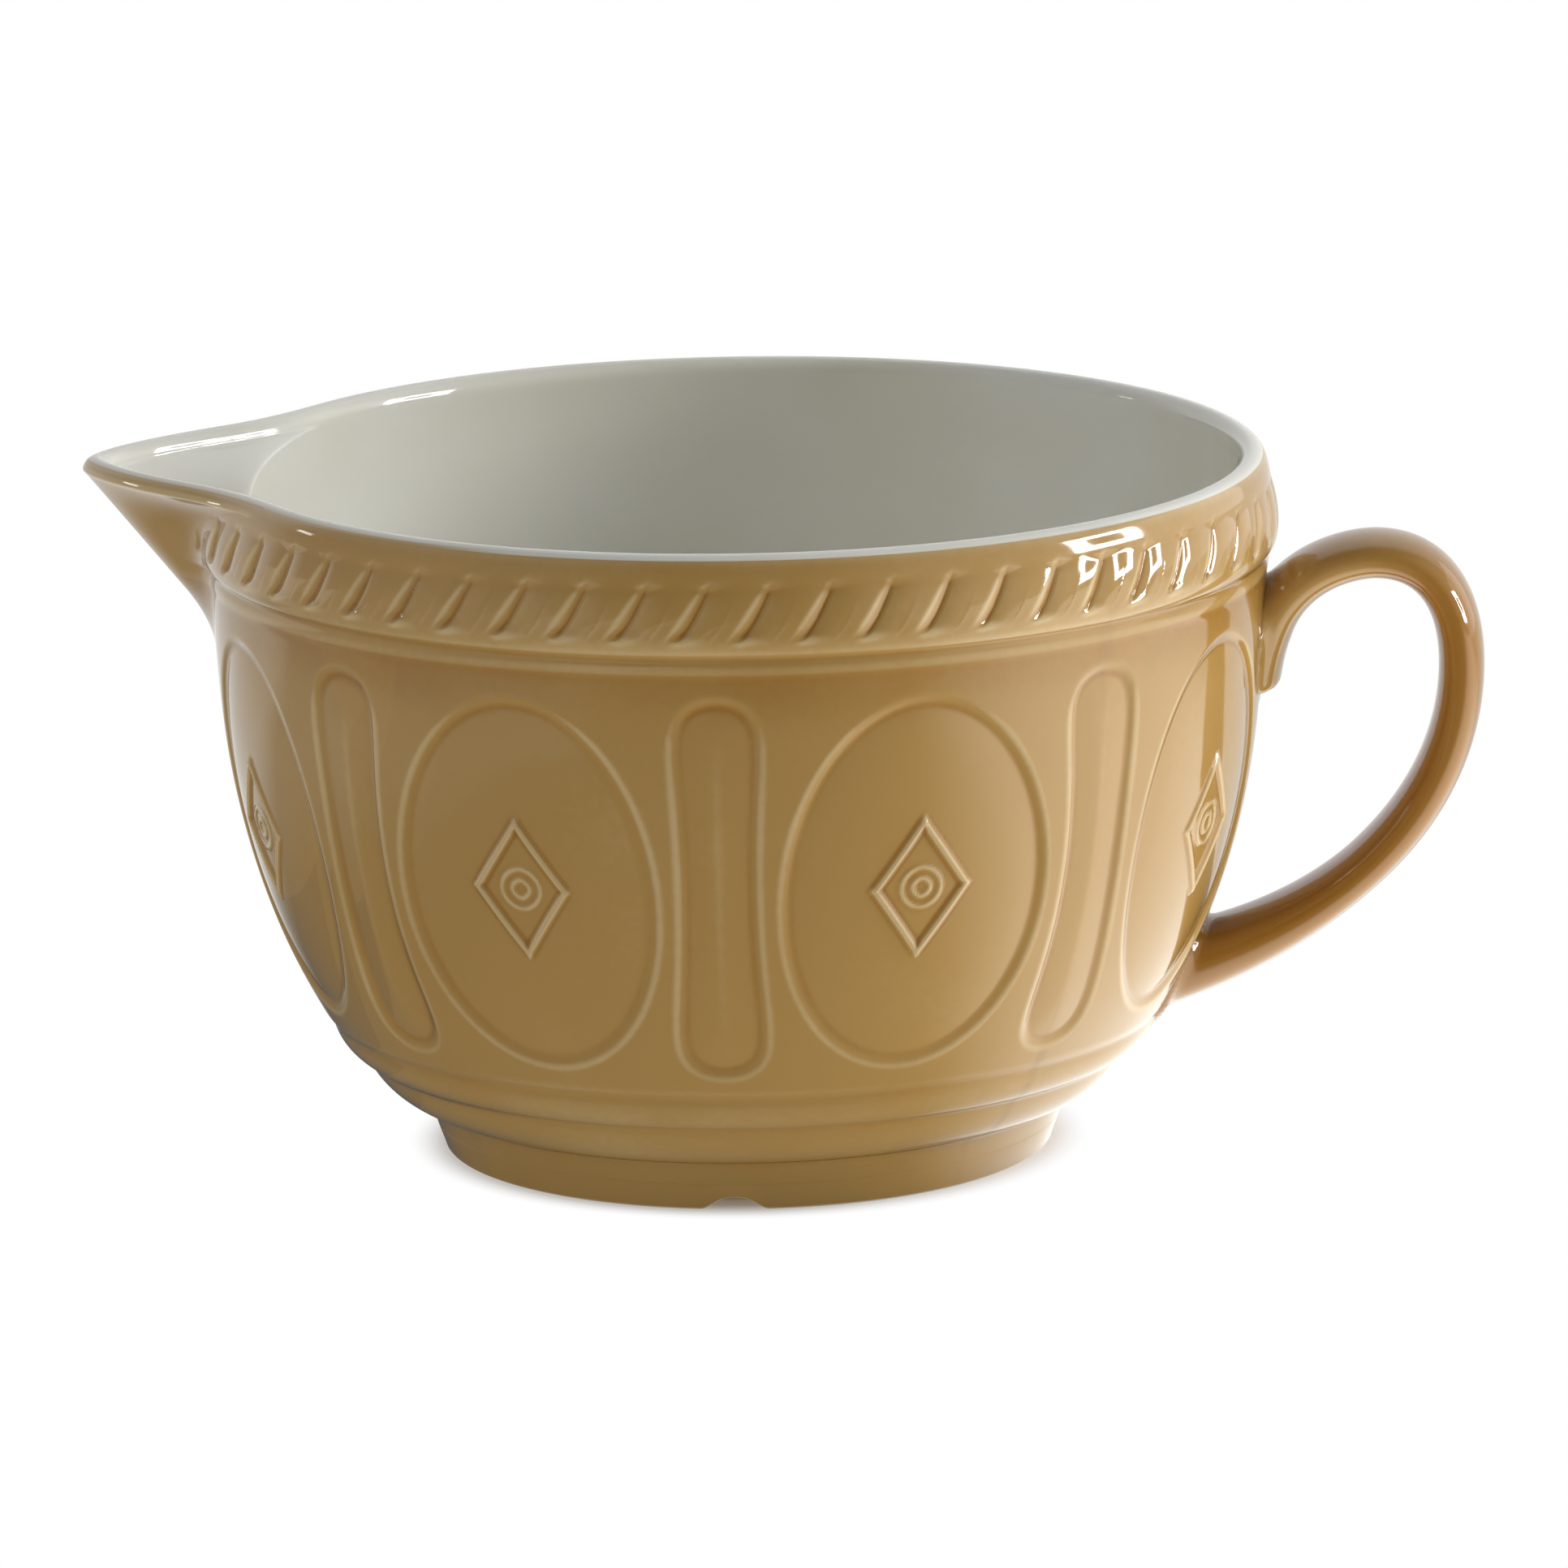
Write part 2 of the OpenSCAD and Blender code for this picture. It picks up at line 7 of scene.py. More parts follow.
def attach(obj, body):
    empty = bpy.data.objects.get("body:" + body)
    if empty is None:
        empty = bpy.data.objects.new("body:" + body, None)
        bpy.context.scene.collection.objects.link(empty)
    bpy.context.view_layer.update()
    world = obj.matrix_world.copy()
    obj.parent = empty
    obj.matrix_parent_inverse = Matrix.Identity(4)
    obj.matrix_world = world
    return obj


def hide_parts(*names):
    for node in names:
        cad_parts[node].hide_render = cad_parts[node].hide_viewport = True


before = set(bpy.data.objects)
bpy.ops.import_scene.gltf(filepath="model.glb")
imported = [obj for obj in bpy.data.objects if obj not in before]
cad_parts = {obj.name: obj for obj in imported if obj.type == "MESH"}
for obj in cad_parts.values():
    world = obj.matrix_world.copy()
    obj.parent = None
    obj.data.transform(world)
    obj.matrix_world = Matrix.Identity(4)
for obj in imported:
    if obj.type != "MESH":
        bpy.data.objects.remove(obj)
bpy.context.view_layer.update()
print("frame loaded with", len(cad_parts), "nodes")

# All sizes below are in millimetres, and meshes are written in metres.
# Azimuth is measured about +Z from +X: the handle is at 0, the spout at 180, the front at -90.


# mesh helpers

def gridQuads(rows, cols, wrapRows=False, wrapCols=False):
    # one four-sided face per cell of a grid of points, turned towards (column step) x (row step)
    i = np.arange(rows if wrapRows else rows - 1)[:, None]
    j = np.arange(cols if wrapCols else cols - 1)[None, :]
    i2, j2 = (i + 1) % rows, (j + 1) % cols
    return np.stack([i * cols + j, i * cols + j2, i2 * cols + j2, i2 * cols + j], -1).reshape(-1, 4)


def writeMesh(name, points, faceSets, smoothFaces, normals=None, values=None):
    # faceSets is a list of whole-number arrays, one row per face
    # the first smoothFaces faces are smooth
    mesh = bpy.data.meshes.new(name)
    mesh.vertices.add(len(points))
    mesh.vertices.foreach_set("co", (points * 0.001).astype(np.float32).ravel())
    corners = np.concatenate([f.ravel() for f in faceSets]).astype(np.int32)
    sides = np.concatenate([np.full(len(f), f.shape[1]) for f in faceSets])
    starts = np.concatenate([[0], np.cumsum(sides)[:-1]]).astype(np.int32)
    mesh.loops.add(len(corners))
    mesh.loops.foreach_set("vertex_index", corners)
    mesh.polygons.add(len(sides))
    mesh.polygons.foreach_set("loop_start", starts)
    mesh.polygons.foreach_set("use_smooth", np.arange(len(sides)) < smoothFaces)
    mesh.update(calc_edges=True)
    if values:
        for key, field in values.items():
            layer = mesh.attributes.new(key, "FLOAT", "POINT")
            layer.data.foreach_set("value", field.astype(np.float32).ravel())
    if normals is not None:
        own = np.zeros((len(corners), 3), np.float32)
        count = int(sides[:smoothFaces].sum())
        own[:count] = normals[corners[:count]]
        mesh.normals_split_custom_set(own)
    piece = bpy.data.objects.new(name, mesh)
    bpy.context.scene.collection.objects.link(piece)
    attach(piece, "root")
    return piece


def closedPatch(name, front, normals, back, step, wrap=False, capEnd=False, values=None):
    # a fine front grid and a coarse back grid (every step-th point), with walls along their open sides
    rows, cols = front.shape[:2]
    pickI = np.arange(0, rows, step)
    pickJ = np.arange(0, cols, step)
    rear = back[pickI][:, pickJ]
    bRows, bCols = rear.shape[:2]
    base = rows * cols
    fronts = gridQuads(rows, cols, wrapCols=wrap)
    backs = gridQuads(bRows, bCols, wrapCols=wrap)[:, ::-1] + base
    faces = [fronts, backs]
    along = np.arange(step + 1)

    def rim(fixedFront, fixedBack, count, total, isRow, ahead, closed):
        # many-sided wall faces between the fine and the coarse border
        n = np.arange(count)[:, None]
        fine = (n * step + along[None, :]) % total
        coarse = np.concatenate([n, n + 1], 1) % (count if closed else count + 1)
        if isRow:
            a, b = fixedFront * cols + fine, fixedBack * bCols + coarse
        else:
            a, b = fine * cols + fixedFront, coarse * bCols + fixedBack
        b = b + base
        if ahead:
            return np.concatenate([a, b[:, ::-1]], 1)
        return np.concatenate([a[:, ::-1], b], 1)

    countJ = bCols if wrap else bCols - 1
    totalJ = cols if wrap else cols + 1
    faces.append(rim(0, 0, countJ, totalJ, True, False, wrap))
    if not capEnd:
        faces.append(rim(rows - 1, bRows - 1, countJ, totalJ, True, True, wrap))
    if not wrap:
        faces.append(rim(0, 0, bRows - 1, rows + 1, False, True, False))
        faces.append(rim(cols - 1, bCols - 1, bRows - 1, rows + 1, False, False, False))
    smooth = len(fronts)
    if capEnd:
        faces.append(((rows - 1) * cols + np.arange(cols))[None, :])
        faces.append((base + (bRows - 1) * bCols + np.arange(bCols))[None, ::-1])
    points = np.concatenate([front.reshape(-1, 3), rear.reshape(-1, 3)])
    allNormals = np.concatenate([normals.reshape(-1, 3), np.zeros((bRows * bCols, 3))])
    if values:
        rest = np.zeros(bRows * bCols)
        values = {key: np.concatenate([field.ravel(), rest]) for key, field in values.items()}
    return writeMesh(name, points, faces, smooth, allNormals, values)


def soft(x, low, high):
    # smooth step from 0 at low to 1 at high
    t = np.clip((x - low) / (high - low), 0, 1)
    return t * t * (3 - 2 * t)


def bump(x, half):
    # round ridge of height 1 at 0 that ends at half on both sides
    return np.cos(np.clip(x / half, -1, 1) * math.pi / 2) ** 2


def softMax(a, b, k):
    # the larger of two values, rounded where they are within k of each other
    h = np.maximum(k - np.abs(a - b), 0) / k
    return np.maximum(a, b) + h * h * k / 4


# the wall's profile

bowl = {
    "bellyTop": 125.2, "bellyFoot": 99.8, "topZ": 138.4, "footZ": 33.0,
    "turn": 2.7, "lean": 3.0, "wall": 6.6,
    "floorZ": 14.5, "floorFlat": 56.0, "bendZ": 22.0, "poleR": 2.5,
    "footLine": [(72.5, 0.6), (73.4, 2.8), (74.3, 5.2), (75.1, 7.6), (75.9, 9.9), (76.8, 12.3)],
    "lowerEnds": ((79.2, 13.0), (91.8, 24.2)), "lowerBulge": 1.9,
    "upperEnds": ((93.4, 24.9), (99.2, 33.1)), "upperBulge": 1.2,
    "bellyFrom": 34.8, "bellyTo": 138.3,
    "beadFrom": 138.6, "beadTo": 142.4, "beadMid": 140.5, "beadHalf": 2.0, "beadOut": 0.45,
    "insideTop": 161.0, "pitch": 0.05, "rounding": 0.8,
    # radius and height down the rope band, up its shoulder, over the lip and down to the inside wall
    "rim": [
        (125.3, 143.2), (126.5, 143.8), (127.2, 144.9), (127.7, 146.3), (127.95, 148.1),
        (127.98, 150.1), (127.86, 152.1), (127.6, 154.1), (127.2, 156.0), (126.78, 157.6),
        (126.42, 158.8), (126.18, 159.7), (126.08, 160.5), (125.97, 161.3), (125.76, 162.3),
        (125.49, 163.3), (125.12, 164.4), (124.66, 165.4), (123.8, 166.3), (122.6, 166.78),
        (121.5, 166.88), (120.4, 166.55), (119.45, 165.7), (118.8, 164.4), (118.6, 162.8)],
}


def bellyRadius(z):
    # top radius, less a straight lean, less a power of the depth below the top
    b = bowl
    u = np.clip((b["topZ"] - z) / (b["topZ"] - b["footZ"]), 0, None)
    fall = b["bellyTop"] - b["lean"] - b["bellyFoot"]
    return b["bellyTop"] - b["lean"] * u - fall * u ** b["turn"]


def bulged(p, q, out, n=24):
    # straight line from p to q pushed out to its right by a parabola
    p, q = np.array(p), np.array(q)
    t = np.linspace(0, 1, n)[:, None]
    d = (q - p) / np.linalg.norm(q - p)
    return p + (q - p) * t + np.array([d[1], -d[0]]) * out * (1 - (2 * t - 1) ** 2)


def curveThrough(points, pitch=0.15):
    # smooth line through points, in cubic pieces whose slopes follow the neighbours
    points = np.array(points, float)
    far = np.concatenate([[0], np.cumsum(np.linalg.norm(np.diff(points, axis=0), axis=1))])
    slope = np.gradient(points, far, axis=0)
    at = np.linspace(0, far[-1], int(far[-1] / pitch))
    k = np.clip(np.searchsorted(far, at, "right") - 1, 0, len(far) - 2)
    h = (far[k + 1] - far[k])[:, None]
    t = (at - far[k])[:, None] / h
    return ((1 + 2 * t) * (1 - t) ** 2 * points[k] + t * (1 - t) ** 2 * h * slope[k]
            + t * t * (3 - 2 * t) * points[k + 1] - t * t * (1 - t) * h * slope[k + 1])


def makeProfile():
    # radius and height along the wall, as distance, radius and height: foot, mouldings, belly,
    # bead, rope band, lip, inside wall (the belly less an even wall), a bend, and the floor
    b = bowl
    lower = bulged(*b["lowerEnds"], b["lowerBulge"])
    upper = bulged(*b["upperEnds"], b["upperBulge"])
    z = np.linspace(b["bellyFrom"], b["bellyTo"], 400)
    belly = np.stack([bellyRadius(z), z], 1)
    z = np.linspace(b["beadFrom"], b["beadTo"], 24)
    swell = np.sqrt(np.clip(1 - ((z - b["beadMid"]) / b["beadHalf"]) ** 2, 0, 1))
    bead = np.stack([b["bellyTop"] + b["beadOut"] * swell, z], 1)
    rim = curveThrough(b["rim"])
    z = np.linspace(b["insideTop"], b["bendZ"], 300)
    slope = (bellyRadius(z + 0.5) - bellyRadius(z - 0.5)) * (z < b["topZ"])
    a = np.arctan(slope)
    inside = np.stack([bellyRadius(z) - b["wall"] * np.cos(a), z + b["wall"] * np.sin(a)], 1)
    inside = inside[np.concatenate([[True], np.diff(inside[:, 1]) < 0])]
    p, s = inside[-1], slope[-1]
    mid = np.array([p[0] - (p[1] - b["floorZ"]) * s, b["floorZ"]])
    end = np.array([b["floorFlat"], b["floorZ"]])
    t = np.linspace(0, 1, 30)[1:, None]
    bend = (1 - t) ** 2 * p + 2 * t * (1 - t) * mid + t * t * end
    floor = np.array([[30.0, b["floorZ"] - 0.1], [b["poleR"], b["floorZ"] - 0.1]])
    line = np.concatenate([b["footLine"], lower, upper, belly, bead, rim, inside, bend, floor])
    far = np.concatenate([[0], np.cumsum(np.linalg.norm(np.diff(line, axis=0), axis=1))])
    s = np.arange(0, far[-1], b["pitch"])
    line = np.stack([np.interp(s, far, line[:, 0]), np.interp(s, far, line[:, 1])], 1)
    # the line is softened by a moving weighted mean
    reach = int(b["rounding"] * 3 / b["pitch"])
    weight = np.exp(-0.5 * (np.arange(-reach, reach + 1) * b["pitch"] / b["rounding"]) ** 2)
    weight /= weight.sum()
    for c in (0, 1):
        before = 2 * line[0, c] - line[reach:0:-1, c]
        after = 2 * line[-1, c] - line[-2:-reach - 2:-1, c]
        line[:, c] = np.convolve(np.concatenate([before, line[:, c], after]), weight, "valid")
    return s, line[:, 0], line[:, 1]


profileS, profileR, profileZ = makeProfile()
normalR = np.gradient(profileZ, profileS)
normalZ = -np.gradient(profileR, profileS)
size = np.hypot(normalR, normalZ)
normalR, normalZ = normalR / size, normalZ / size
crestS = profileS[np.argmax(profileZ)]


def outerAt(z):
    # distance along the profile where its outer side reaches a height
    k = profileS < crestS
    return float(np.interp(z, profileZ[k], profileS[k]))


def innerAt(z):
    # the same on its inner side
    k = (profileS > crestS) & (profileZ > 15.2)
    return float(np.interp(z, profileZ[k][::-1], profileS[k][::-1]))


print("profile", round(float(profileS[-1]), 1), "mm long, crest at", round(float(crestS), 1))

# the belly's panels and the rope

panels = {
    "count": 8, "middleZ": 86.3, "ovalHalfW": 33.0, "ovalHalfH": 46.0,
    "waistEnd": 12.0, "waistMid": 9.7, "waistHalfH": 47.6, "waistFlare": 1.5, "waistPower": 8,
    "depth": 1.25, "edge": 3.3, "lip": 0.35, "pillow": 0.95, "pillowReach": 8.5,
    "handleSpan": (60.4, 107.1), "spoutTopZ": 118.0,
    "lozengeHalfW": 13.0, "lozengeHalfH": 18.6, "ridge": 0.8, "ridgeHalf": 1.6,
    "lozengeDip": 0.12, "ringR": 4.8, "dotR": 2.1, "ringRidge": 0.3, "ringHalf": 1.1,
}


def sunk(inside):
    # height of a sunk panel by the distance inside its outline: a steep edge down, then a soft rise
    p = panels
    x = np.clip(inside, 0, None)
    drop = soft(inside, -p["lip"], p["edge"])
    rise = 1 - np.exp(-np.clip(x - 0.6 * p["edge"], 0, None) / p["pillowReach"])
    return -p["depth"] * drop + p["pillow"] * rise


def panelHeight(theta, r, z):
    # ovals with a lozenge and two rings at the odd half steps, waisted panels at the whole steps
    p = panels
    turn = 2 * math.pi / p["count"]
    dz = z - p["middleZ"]
    near = ((theta / turn) % 1 - 0.5) * turn
    u = r * np.sin(near)
    f = np.sqrt((u / p["ovalHalfW"]) ** 2 + (dz / p["ovalHalfH"]) ** 2) + 1e-9
    grad = np.sqrt((u / p["ovalHalfW"] ** 2) ** 2 + (dz / p["ovalHalfH"] ** 2) ** 2) / f + 1e-9
    h = sunk((1 - f) / grad)
    halfW, halfH = p["lozengeHalfW"], p["lozengeHalfH"]
    away = (np.abs(u) / halfW + np.abs(dz) / halfH - 1) * halfW * halfH / math.hypot(halfW, halfH)
    h = h + p["ridge"] * bump(away + p["ridgeHalf"], p["ridgeHalf"])
    h = h - p["lozengeDip"] * (1 - soft(away + p["ridgeHalf"], -1, 0))
    ring = np.hypot(u, dz)
    for radius in (p["ringR"], p["dotR"]):
        h = h + p["ringRidge"] * bump(ring - radius, p["ringHalf"])
    index = np.round(theta / turn)
    u = r * np.sin(theta - index * turn)
    t = np.clip(dz / p["waistHalfH"], -1.3, 1.3)
    grow, power = (p["waistEnd"] - p["waistMid"]) * p["waistFlare"], p["waistPower"]
    half = p["waistMid"] + grow * t * t
    value = (u / half) ** 2 + t ** power - 1
    slopeU = 2 * u / half ** 2
    slopeZ = (power * t ** (power - 1) - 2 * u * u / half ** 3 * grow * 2 * t) / p["waistHalfH"]
    inside = -value / (np.hypot(slopeU, slopeZ) + 0.02)
    index = index.astype(int) % p["count"]
    low, high = p["handleSpan"]
    inside = np.where(index == 0, np.minimum(inside, np.minimum(z - low, high - z)), inside)
    inside = np.where(index == 4, np.minimum(inside, p["spoutTopZ"] - z), inside)
    return h + sunk(inside)


rope = {
    "count": 56, "radius": 127.0, "lean": 27.0, "footLean": 0.010, "footLeanZ": 153.0,
    "lowZ": 147.4, "topZ": 160.9, "fullZ": 151.5,
    "depth": 0.86, "leftWide": 2.8, "leftRound": 0.03, "rightFade": 2.2,
    "pillow": 0.40, "pillowLow": (147.0, 150.5), "pillowHigh": (159.2, 160.9),
}


def ropeHeight(theta, r, z):
    # leaning cuts: an even left side, a right side that starts steep and fades by an exponential,
    # both narrower towards the top, and between the cuts strands that are full by a parabola
    p = rope
    pitch = 2 * math.pi / p["count"]
    lean = math.tan(math.radians(p["lean"])) * (z - p["lowZ"]) / p["radius"]
    lean = lean - p["footLean"] * np.clip((p["footLeanZ"] - z) / 6, 0, 1.2) ** 2
    q = (theta - lean) / pitch - 0.5
    part = q - np.round(q)
    across = part * pitch * p["radius"] * math.cos(math.radians(p["lean"]))
    low = np.clip((p["topZ"] - z) / (p["topZ"] - p["fullZ"]), 0, 1)
    depth = p["depth"] * soft(low, -0.25, 0.9) * soft(low, 0, 0.12)
    depth = depth * soft(z, p["lowZ"] - 0.6, p["lowZ"] + 1.8)
    left = np.clip(1 + across / (p["leftWide"] * (0.5 + 0.5 * low)), 0, None)
    least = math.sqrt(p["leftRound"])
    left = (np.sqrt(left * left + p["leftRound"]) - least) / (math.sqrt(1 + p["leftRound"]) - least)
    right = np.exp(-np.clip(across, 0, None) / (p["rightFade"] * (0.5 + 0.5 * low)))
    hollow = (1 - np.abs(part) * 2) ** 2
    window = soft(z, *p["pillowLow"]) * (1 - soft(z + hollow, *p["pillowHigh"]))
    return -depth * np.where(across < 0, left, right) - p["pillow"] * hollow * window


# the spout, as level wedges with a round tip about a point inside the wall

spoutForm = {
    # A is the wedge's length from the centre, B its half width, and the curves are powers of the height
    "centre": 115.0, "rootZ": 118.6, "rimZ": 163.6, "endA": 4.0, "growA": 36.9, "point": 1.5,
    "endB": 9.0, "growB": 20.0, "flareB": 20.0, "sideCurve": 0.6, "flareCurve": 6.0,
    "channelZ": 129.8, "channelA": 4.0, "channelCurve": 1.05, "insideZ": 162.8,
    "mouthCurve": 0.5, "mouthB": 10.0, "wallA": 6.4, "wallB": 8.2, "lipR": 125.35, "lipWide": 6.75,
    "closing": 30.0, "leastAxis": 0.6, "halfSpan": 0.8, "lowestZ": 112.0, "ropeFade": (-4.5, -0.5),
    "filletLow": 7.0, "filletRim": 9.0, "filletIn": 9.0, "filletMouth": 3.5, "mouthSpan": (156.0, 163.0),
}
shoulderS, innerS = outerAt(161.9), innerAt(spoutForm["insideZ"])


def spoutAxes(s, z, r):
    # length and half width of the level wedge that belongs to each profile point, outside,
    # over the lip and inside; both axes close below the spout's root and below the channel's
    p = spoutForm
    w = np.where(s > crestS, 1, (z - p["rootZ"]) / (p["rimZ"] - p["rootZ"]))
    outA = p["endA"] + p["growA"] * np.clip(w, -0.09, 1)
    up = np.clip(w, 0, 1)
    outB = p["endB"] + p["growB"] * up ** p["sideCurve"] + p["flareB"] * up ** p["flareCurve"]
    outB = outB + p["closing"] * np.clip(w, -0.2, 0)
    lean = np.clip((r - p["lipR"]) / p["lipWide"], -1, 0) * (s > shoulderS)
    topA = p["endA"] + p["growA"] - p["wallA"]
    topB = p["endB"] + p["growB"] + p["flareB"] - p["wallB"]
    w = (z - p["channelZ"]) / (p["insideZ"] - p["channelZ"])
    up = np.clip(w, 0, 1)
    start = p["channelA"] + p["closing"] * np.clip(w, -0.12, 0)
    inA = start + (topA - p["channelA"]) * up ** p["channelCurve"]
    flare = topB - p["channelA"] - p["mouthB"]
    inB = start + p["mouthB"] * up ** p["mouthCurve"] + flare * up ** p["flareCurve"]
    inner = s > innerS
    alongA = np.where(inner, inA, outA + p["wallA"] * lean)
    return alongA, np.where(inner, inB, outB + p["wallB"] * lean)


def wedgeReach(phi, a, b):
    # distance from the bowl's axis where (x - centre) / a + (|y| / b) to the power of point is 1,
    # found by repeated tangent steps from outside
    p = spoutForm
    c, d = np.maximum(np.cos(phi), 0.2), np.abs(np.sin(phi)) + 1e-6
    reach = (p["centre"] + a) / c
    for _ in range(9):
        side = (reach * d / b) ** (p["point"] - 1)
        value = (reach * c - p["centre"]) / a + side * reach * d / b - 1
        reach = reach - value / (c / a + p["point"] * side * d / b)
    return reach


def surface(theta, s, relief=True):
    # the whole skin of the bowl: profile and relief turned about the axis, and where the spout
    # is, the larger of that radius and the wedge's reach, rounded by a fillet
    r = np.interp(s, profileS, profileR)
    z = np.interp(s, profileS, profileZ)
    nr, nz = np.interp(s, profileS, normalR), np.interp(s, profileS, normalZ)
    p = spoutForm
    plainZ = z
    phi = (theta % (2 * math.pi)) - math.pi
    a, b = spoutAxes(s, z, r)
    reach = wedgeReach(phi, np.maximum(a, p["leastAxis"]), np.maximum(b, p["leastAxis"]))
    ahead = np.abs(phi) < p["halfSpan"]
    if relief:
        h = np.where((s > bellyS) & (s < beadS), panelHeight(theta, r, z), 0)
        # the rope's cuts end where the spout's flank leaves the wall
        onWall = np.where(ahead, 1 - soft(reach - r, *p["ropeFade"]), 1)
        h = np.where((s > ropeS) & (s < lipS), ropeHeight(theta, r, z) * onWall, h)
        r, z = r + h * nr, z + h * nz
    up = np.clip((plainZ - p["rootZ"]) / (p["rimZ"] - p["rootZ"]), 0, 1)
    inward = np.clip((s - lipS) / (innerS - lipS), 0, 1)
    k = p["filletLow"] + (p["filletRim"] - p["filletLow"]) * up ** 4
    k = k * (1 - inward) + p["filletIn"] * inward
    mouth = p["filletMouth"] + (p["filletIn"] - p["filletMouth"]) * soft(plainZ, *p["mouthSpan"])
    k = np.where(s > innerS, mouth, k)
    r = np.where(ahead & (plainZ > p["lowestZ"]), softMax(r, reach, k), r)
    return np.stack([r * np.cos(theta), r * np.sin(theta), z], -1)


bellyS, beadS, ropeS, lipS = outerAt(34.9), outerAt(138.3), outerAt(143.0), outerAt(165.4)

# the first and last rows of a patch dip by tuckDepth under the neighbour, so that no crack shows
skinForm = {
    "tuckReach": 0.25, "tuckDepth": 0.03, "normalStep": 0.22, "poolStep": 1.3,
    # two of these heights bound the band of painted shade under the bead
    "underBeadShadeSpan": (121.0, 137.0), "underBeadShadeTop": 139.0, "whiteDelay": 1.3, "whiteBlur": 0.3,
}


def besides(theta, s, at, step, relief=True):
    # the surface a step to either side round the bowl, and a step to either side along the profile
    turn = step / np.maximum(np.hypot(at[..., 0], at[..., 1]), 3)
    return (surface(theta + turn, s, relief), surface(theta - turn, s, relief),
            surface(theta, np.clip(s + step, 0, profileS[-1]), relief),
            surface(theta, np.clip(s - step, 0, profileS[-1]), relief))


def skinNormals(theta, s, at, step, relief=True):
    # the cross product of the two slopes, at length 1
    a, b, c, d = besides(theta, s, at, step, relief)
    normals = np.cross(a - b, c - d)
    return normals / np.linalg.norm(normals, axis=-1, keepdims=True)


def skin(name, azimuths, lengths, thick, step, wrap=False, capEnd=False):
    # a patch of the bowl's skin: normals from points a small step to each side, the pool value from
    # how far the mean of four wider steps lies outside, and a back thick below the plain surface
    p = skinForm
    lengths = lengths + 0
    lengths[0] -= p["tuckReach"]
    lengths[-1] += 0 if capEnd else p["tuckReach"]
    theta, s = np.meshgrid(np.radians(azimuths), lengths)
    front = surface(theta, s)
    normals = skinNormals(theta, s, front, p["normalStep"])
    mean = sum(besides(theta, s, front, p["poolStep"])) / 4
    poolAndShade = ((mean - front) * normals).sum(-1)
    front[0] -= normals[0] * p["tuckDepth"]
    if not capEnd:
        front[-1] -= normals[-1] * p["tuckDepth"]
    back = surface(theta, s, relief=False) - normals * thick
    # a band under the bead is darker: painted shade under its overhang, and partly glaze gathered there
    z = front[..., 2]
    poolAndShade = poolAndShade + caneGlaze["underBeadShade"] * soft(z, *p["underBeadShadeSpan"]) * (z < p["underBeadShadeTop"])
    # the white glaze starts a little further over the lip on the side of the spout
    start = p["whiteDelay"] * soft(-np.cos(theta), 0.1, 0.8)
    white = soft(s - lipS - start, -p["whiteBlur"], p["whiteBlur"])
    values = {"poolAndShade": poolAndShade, "white": white}
    return closedPatch(name, front, normals, back, step, wrap, capEnd, values)


def spaced(low, high, pitch, step):
    # evenly spaced values whose number of gaps is a multiple of step
    n = max(1, int(round((high - low) / pitch / step))) * step
    return np.linspace(low, high, n + 1)


# materials

def nodeMaterial(name, roughness, specular=0.5, ior=1.5):
    # a new material with its constants on the shader's own sockets
    material = bpy.data.materials.new(name)
    material.use_nodes = True
    shader = material.node_tree.nodes["Principled BSDF"]
    shader.inputs["Roughness"].default_value = roughness
    shader.inputs["Specular IOR Level"].default_value = specular
    shader.inputs["IOR"].default_value = ior
    return material, material.node_tree.nodes, material.node_tree.links, shader


def addNoise(nodes, links, coords, scale, detail=3.0, roughness=0.5):
    # cloudy noise in the piece's own place, so that the bowl's patches join
    noise = nodes.new("ShaderNodeTexNoise")
    noise.inputs["Scale"].default_value = scale
    noise.inputs["Detail"].default_value = detail
    noise.inputs["Roughness"].default_value = roughness
    links.new(coords.outputs["Object"], noise.inputs["Vector"])
    return noise.outputs["Fac"]


def addMath(nodes, links, kind, a, b, clamp=False):
    node = nodes.new("ShaderNodeMath")
    node.operation = kind
    node.use_clamp = clamp
    for socket, value in ((node.inputs[0], a), (node.inputs[1], b)):
        if isinstance(value, (int, float)):
            socket.default_value = value
        else:
            links.new(value, socket)
    return node.outputs[0]


def addRange(nodes, links, value, low, high, atLow, atHigh):
    # smooth change from one value to another between two limits
    node = nodes.new("ShaderNodeMapRange")
    node.interpolation_type = "SMOOTHSTEP"
    for key, number in (("From Min", low), ("From Max", high), ("To Min", atLow), ("To Max", atHigh)):
        node.inputs[key].default_value = number
    links.new(value, node.inputs["Value"])
    return node.outputs["Result"]


def addScaled(nodes, links, value, gain, base):
    # value times gain plus base
    result = addMath(nodes, links, "MULTIPLY_ADD", value, gain)
    result.node.inputs[2].default_value = base
    return result


def addRamp(nodes, links, value, stops):
    # colours by place from 0 to 1, as pairs of place and colour
    ramp = nodes.new("ShaderNodeValToRGB")
    elements = ramp.color_ramp.elements
    elements[0].position, elements[1].position = stops[0][0], stops[-1][0]
    for place, _ in stops[1:-1]:
        elements.new(place)
    for element, (_, colour) in zip(elements, stops):
        element.color = (*colour, 1)
    links.new(value, ramp.inputs["Fac"])
    return ramp


def addBump(nodes, links, shader, height, strength, distance):
    node = nodes.new("ShaderNodeBump")
    node.inputs["Strength"].default_value = strength
    node.inputs["Distance"].default_value = distance
    links.new(height, node.inputs["Height"])
    links.new(node.outputs["Normal"], shader.inputs["Normal"])


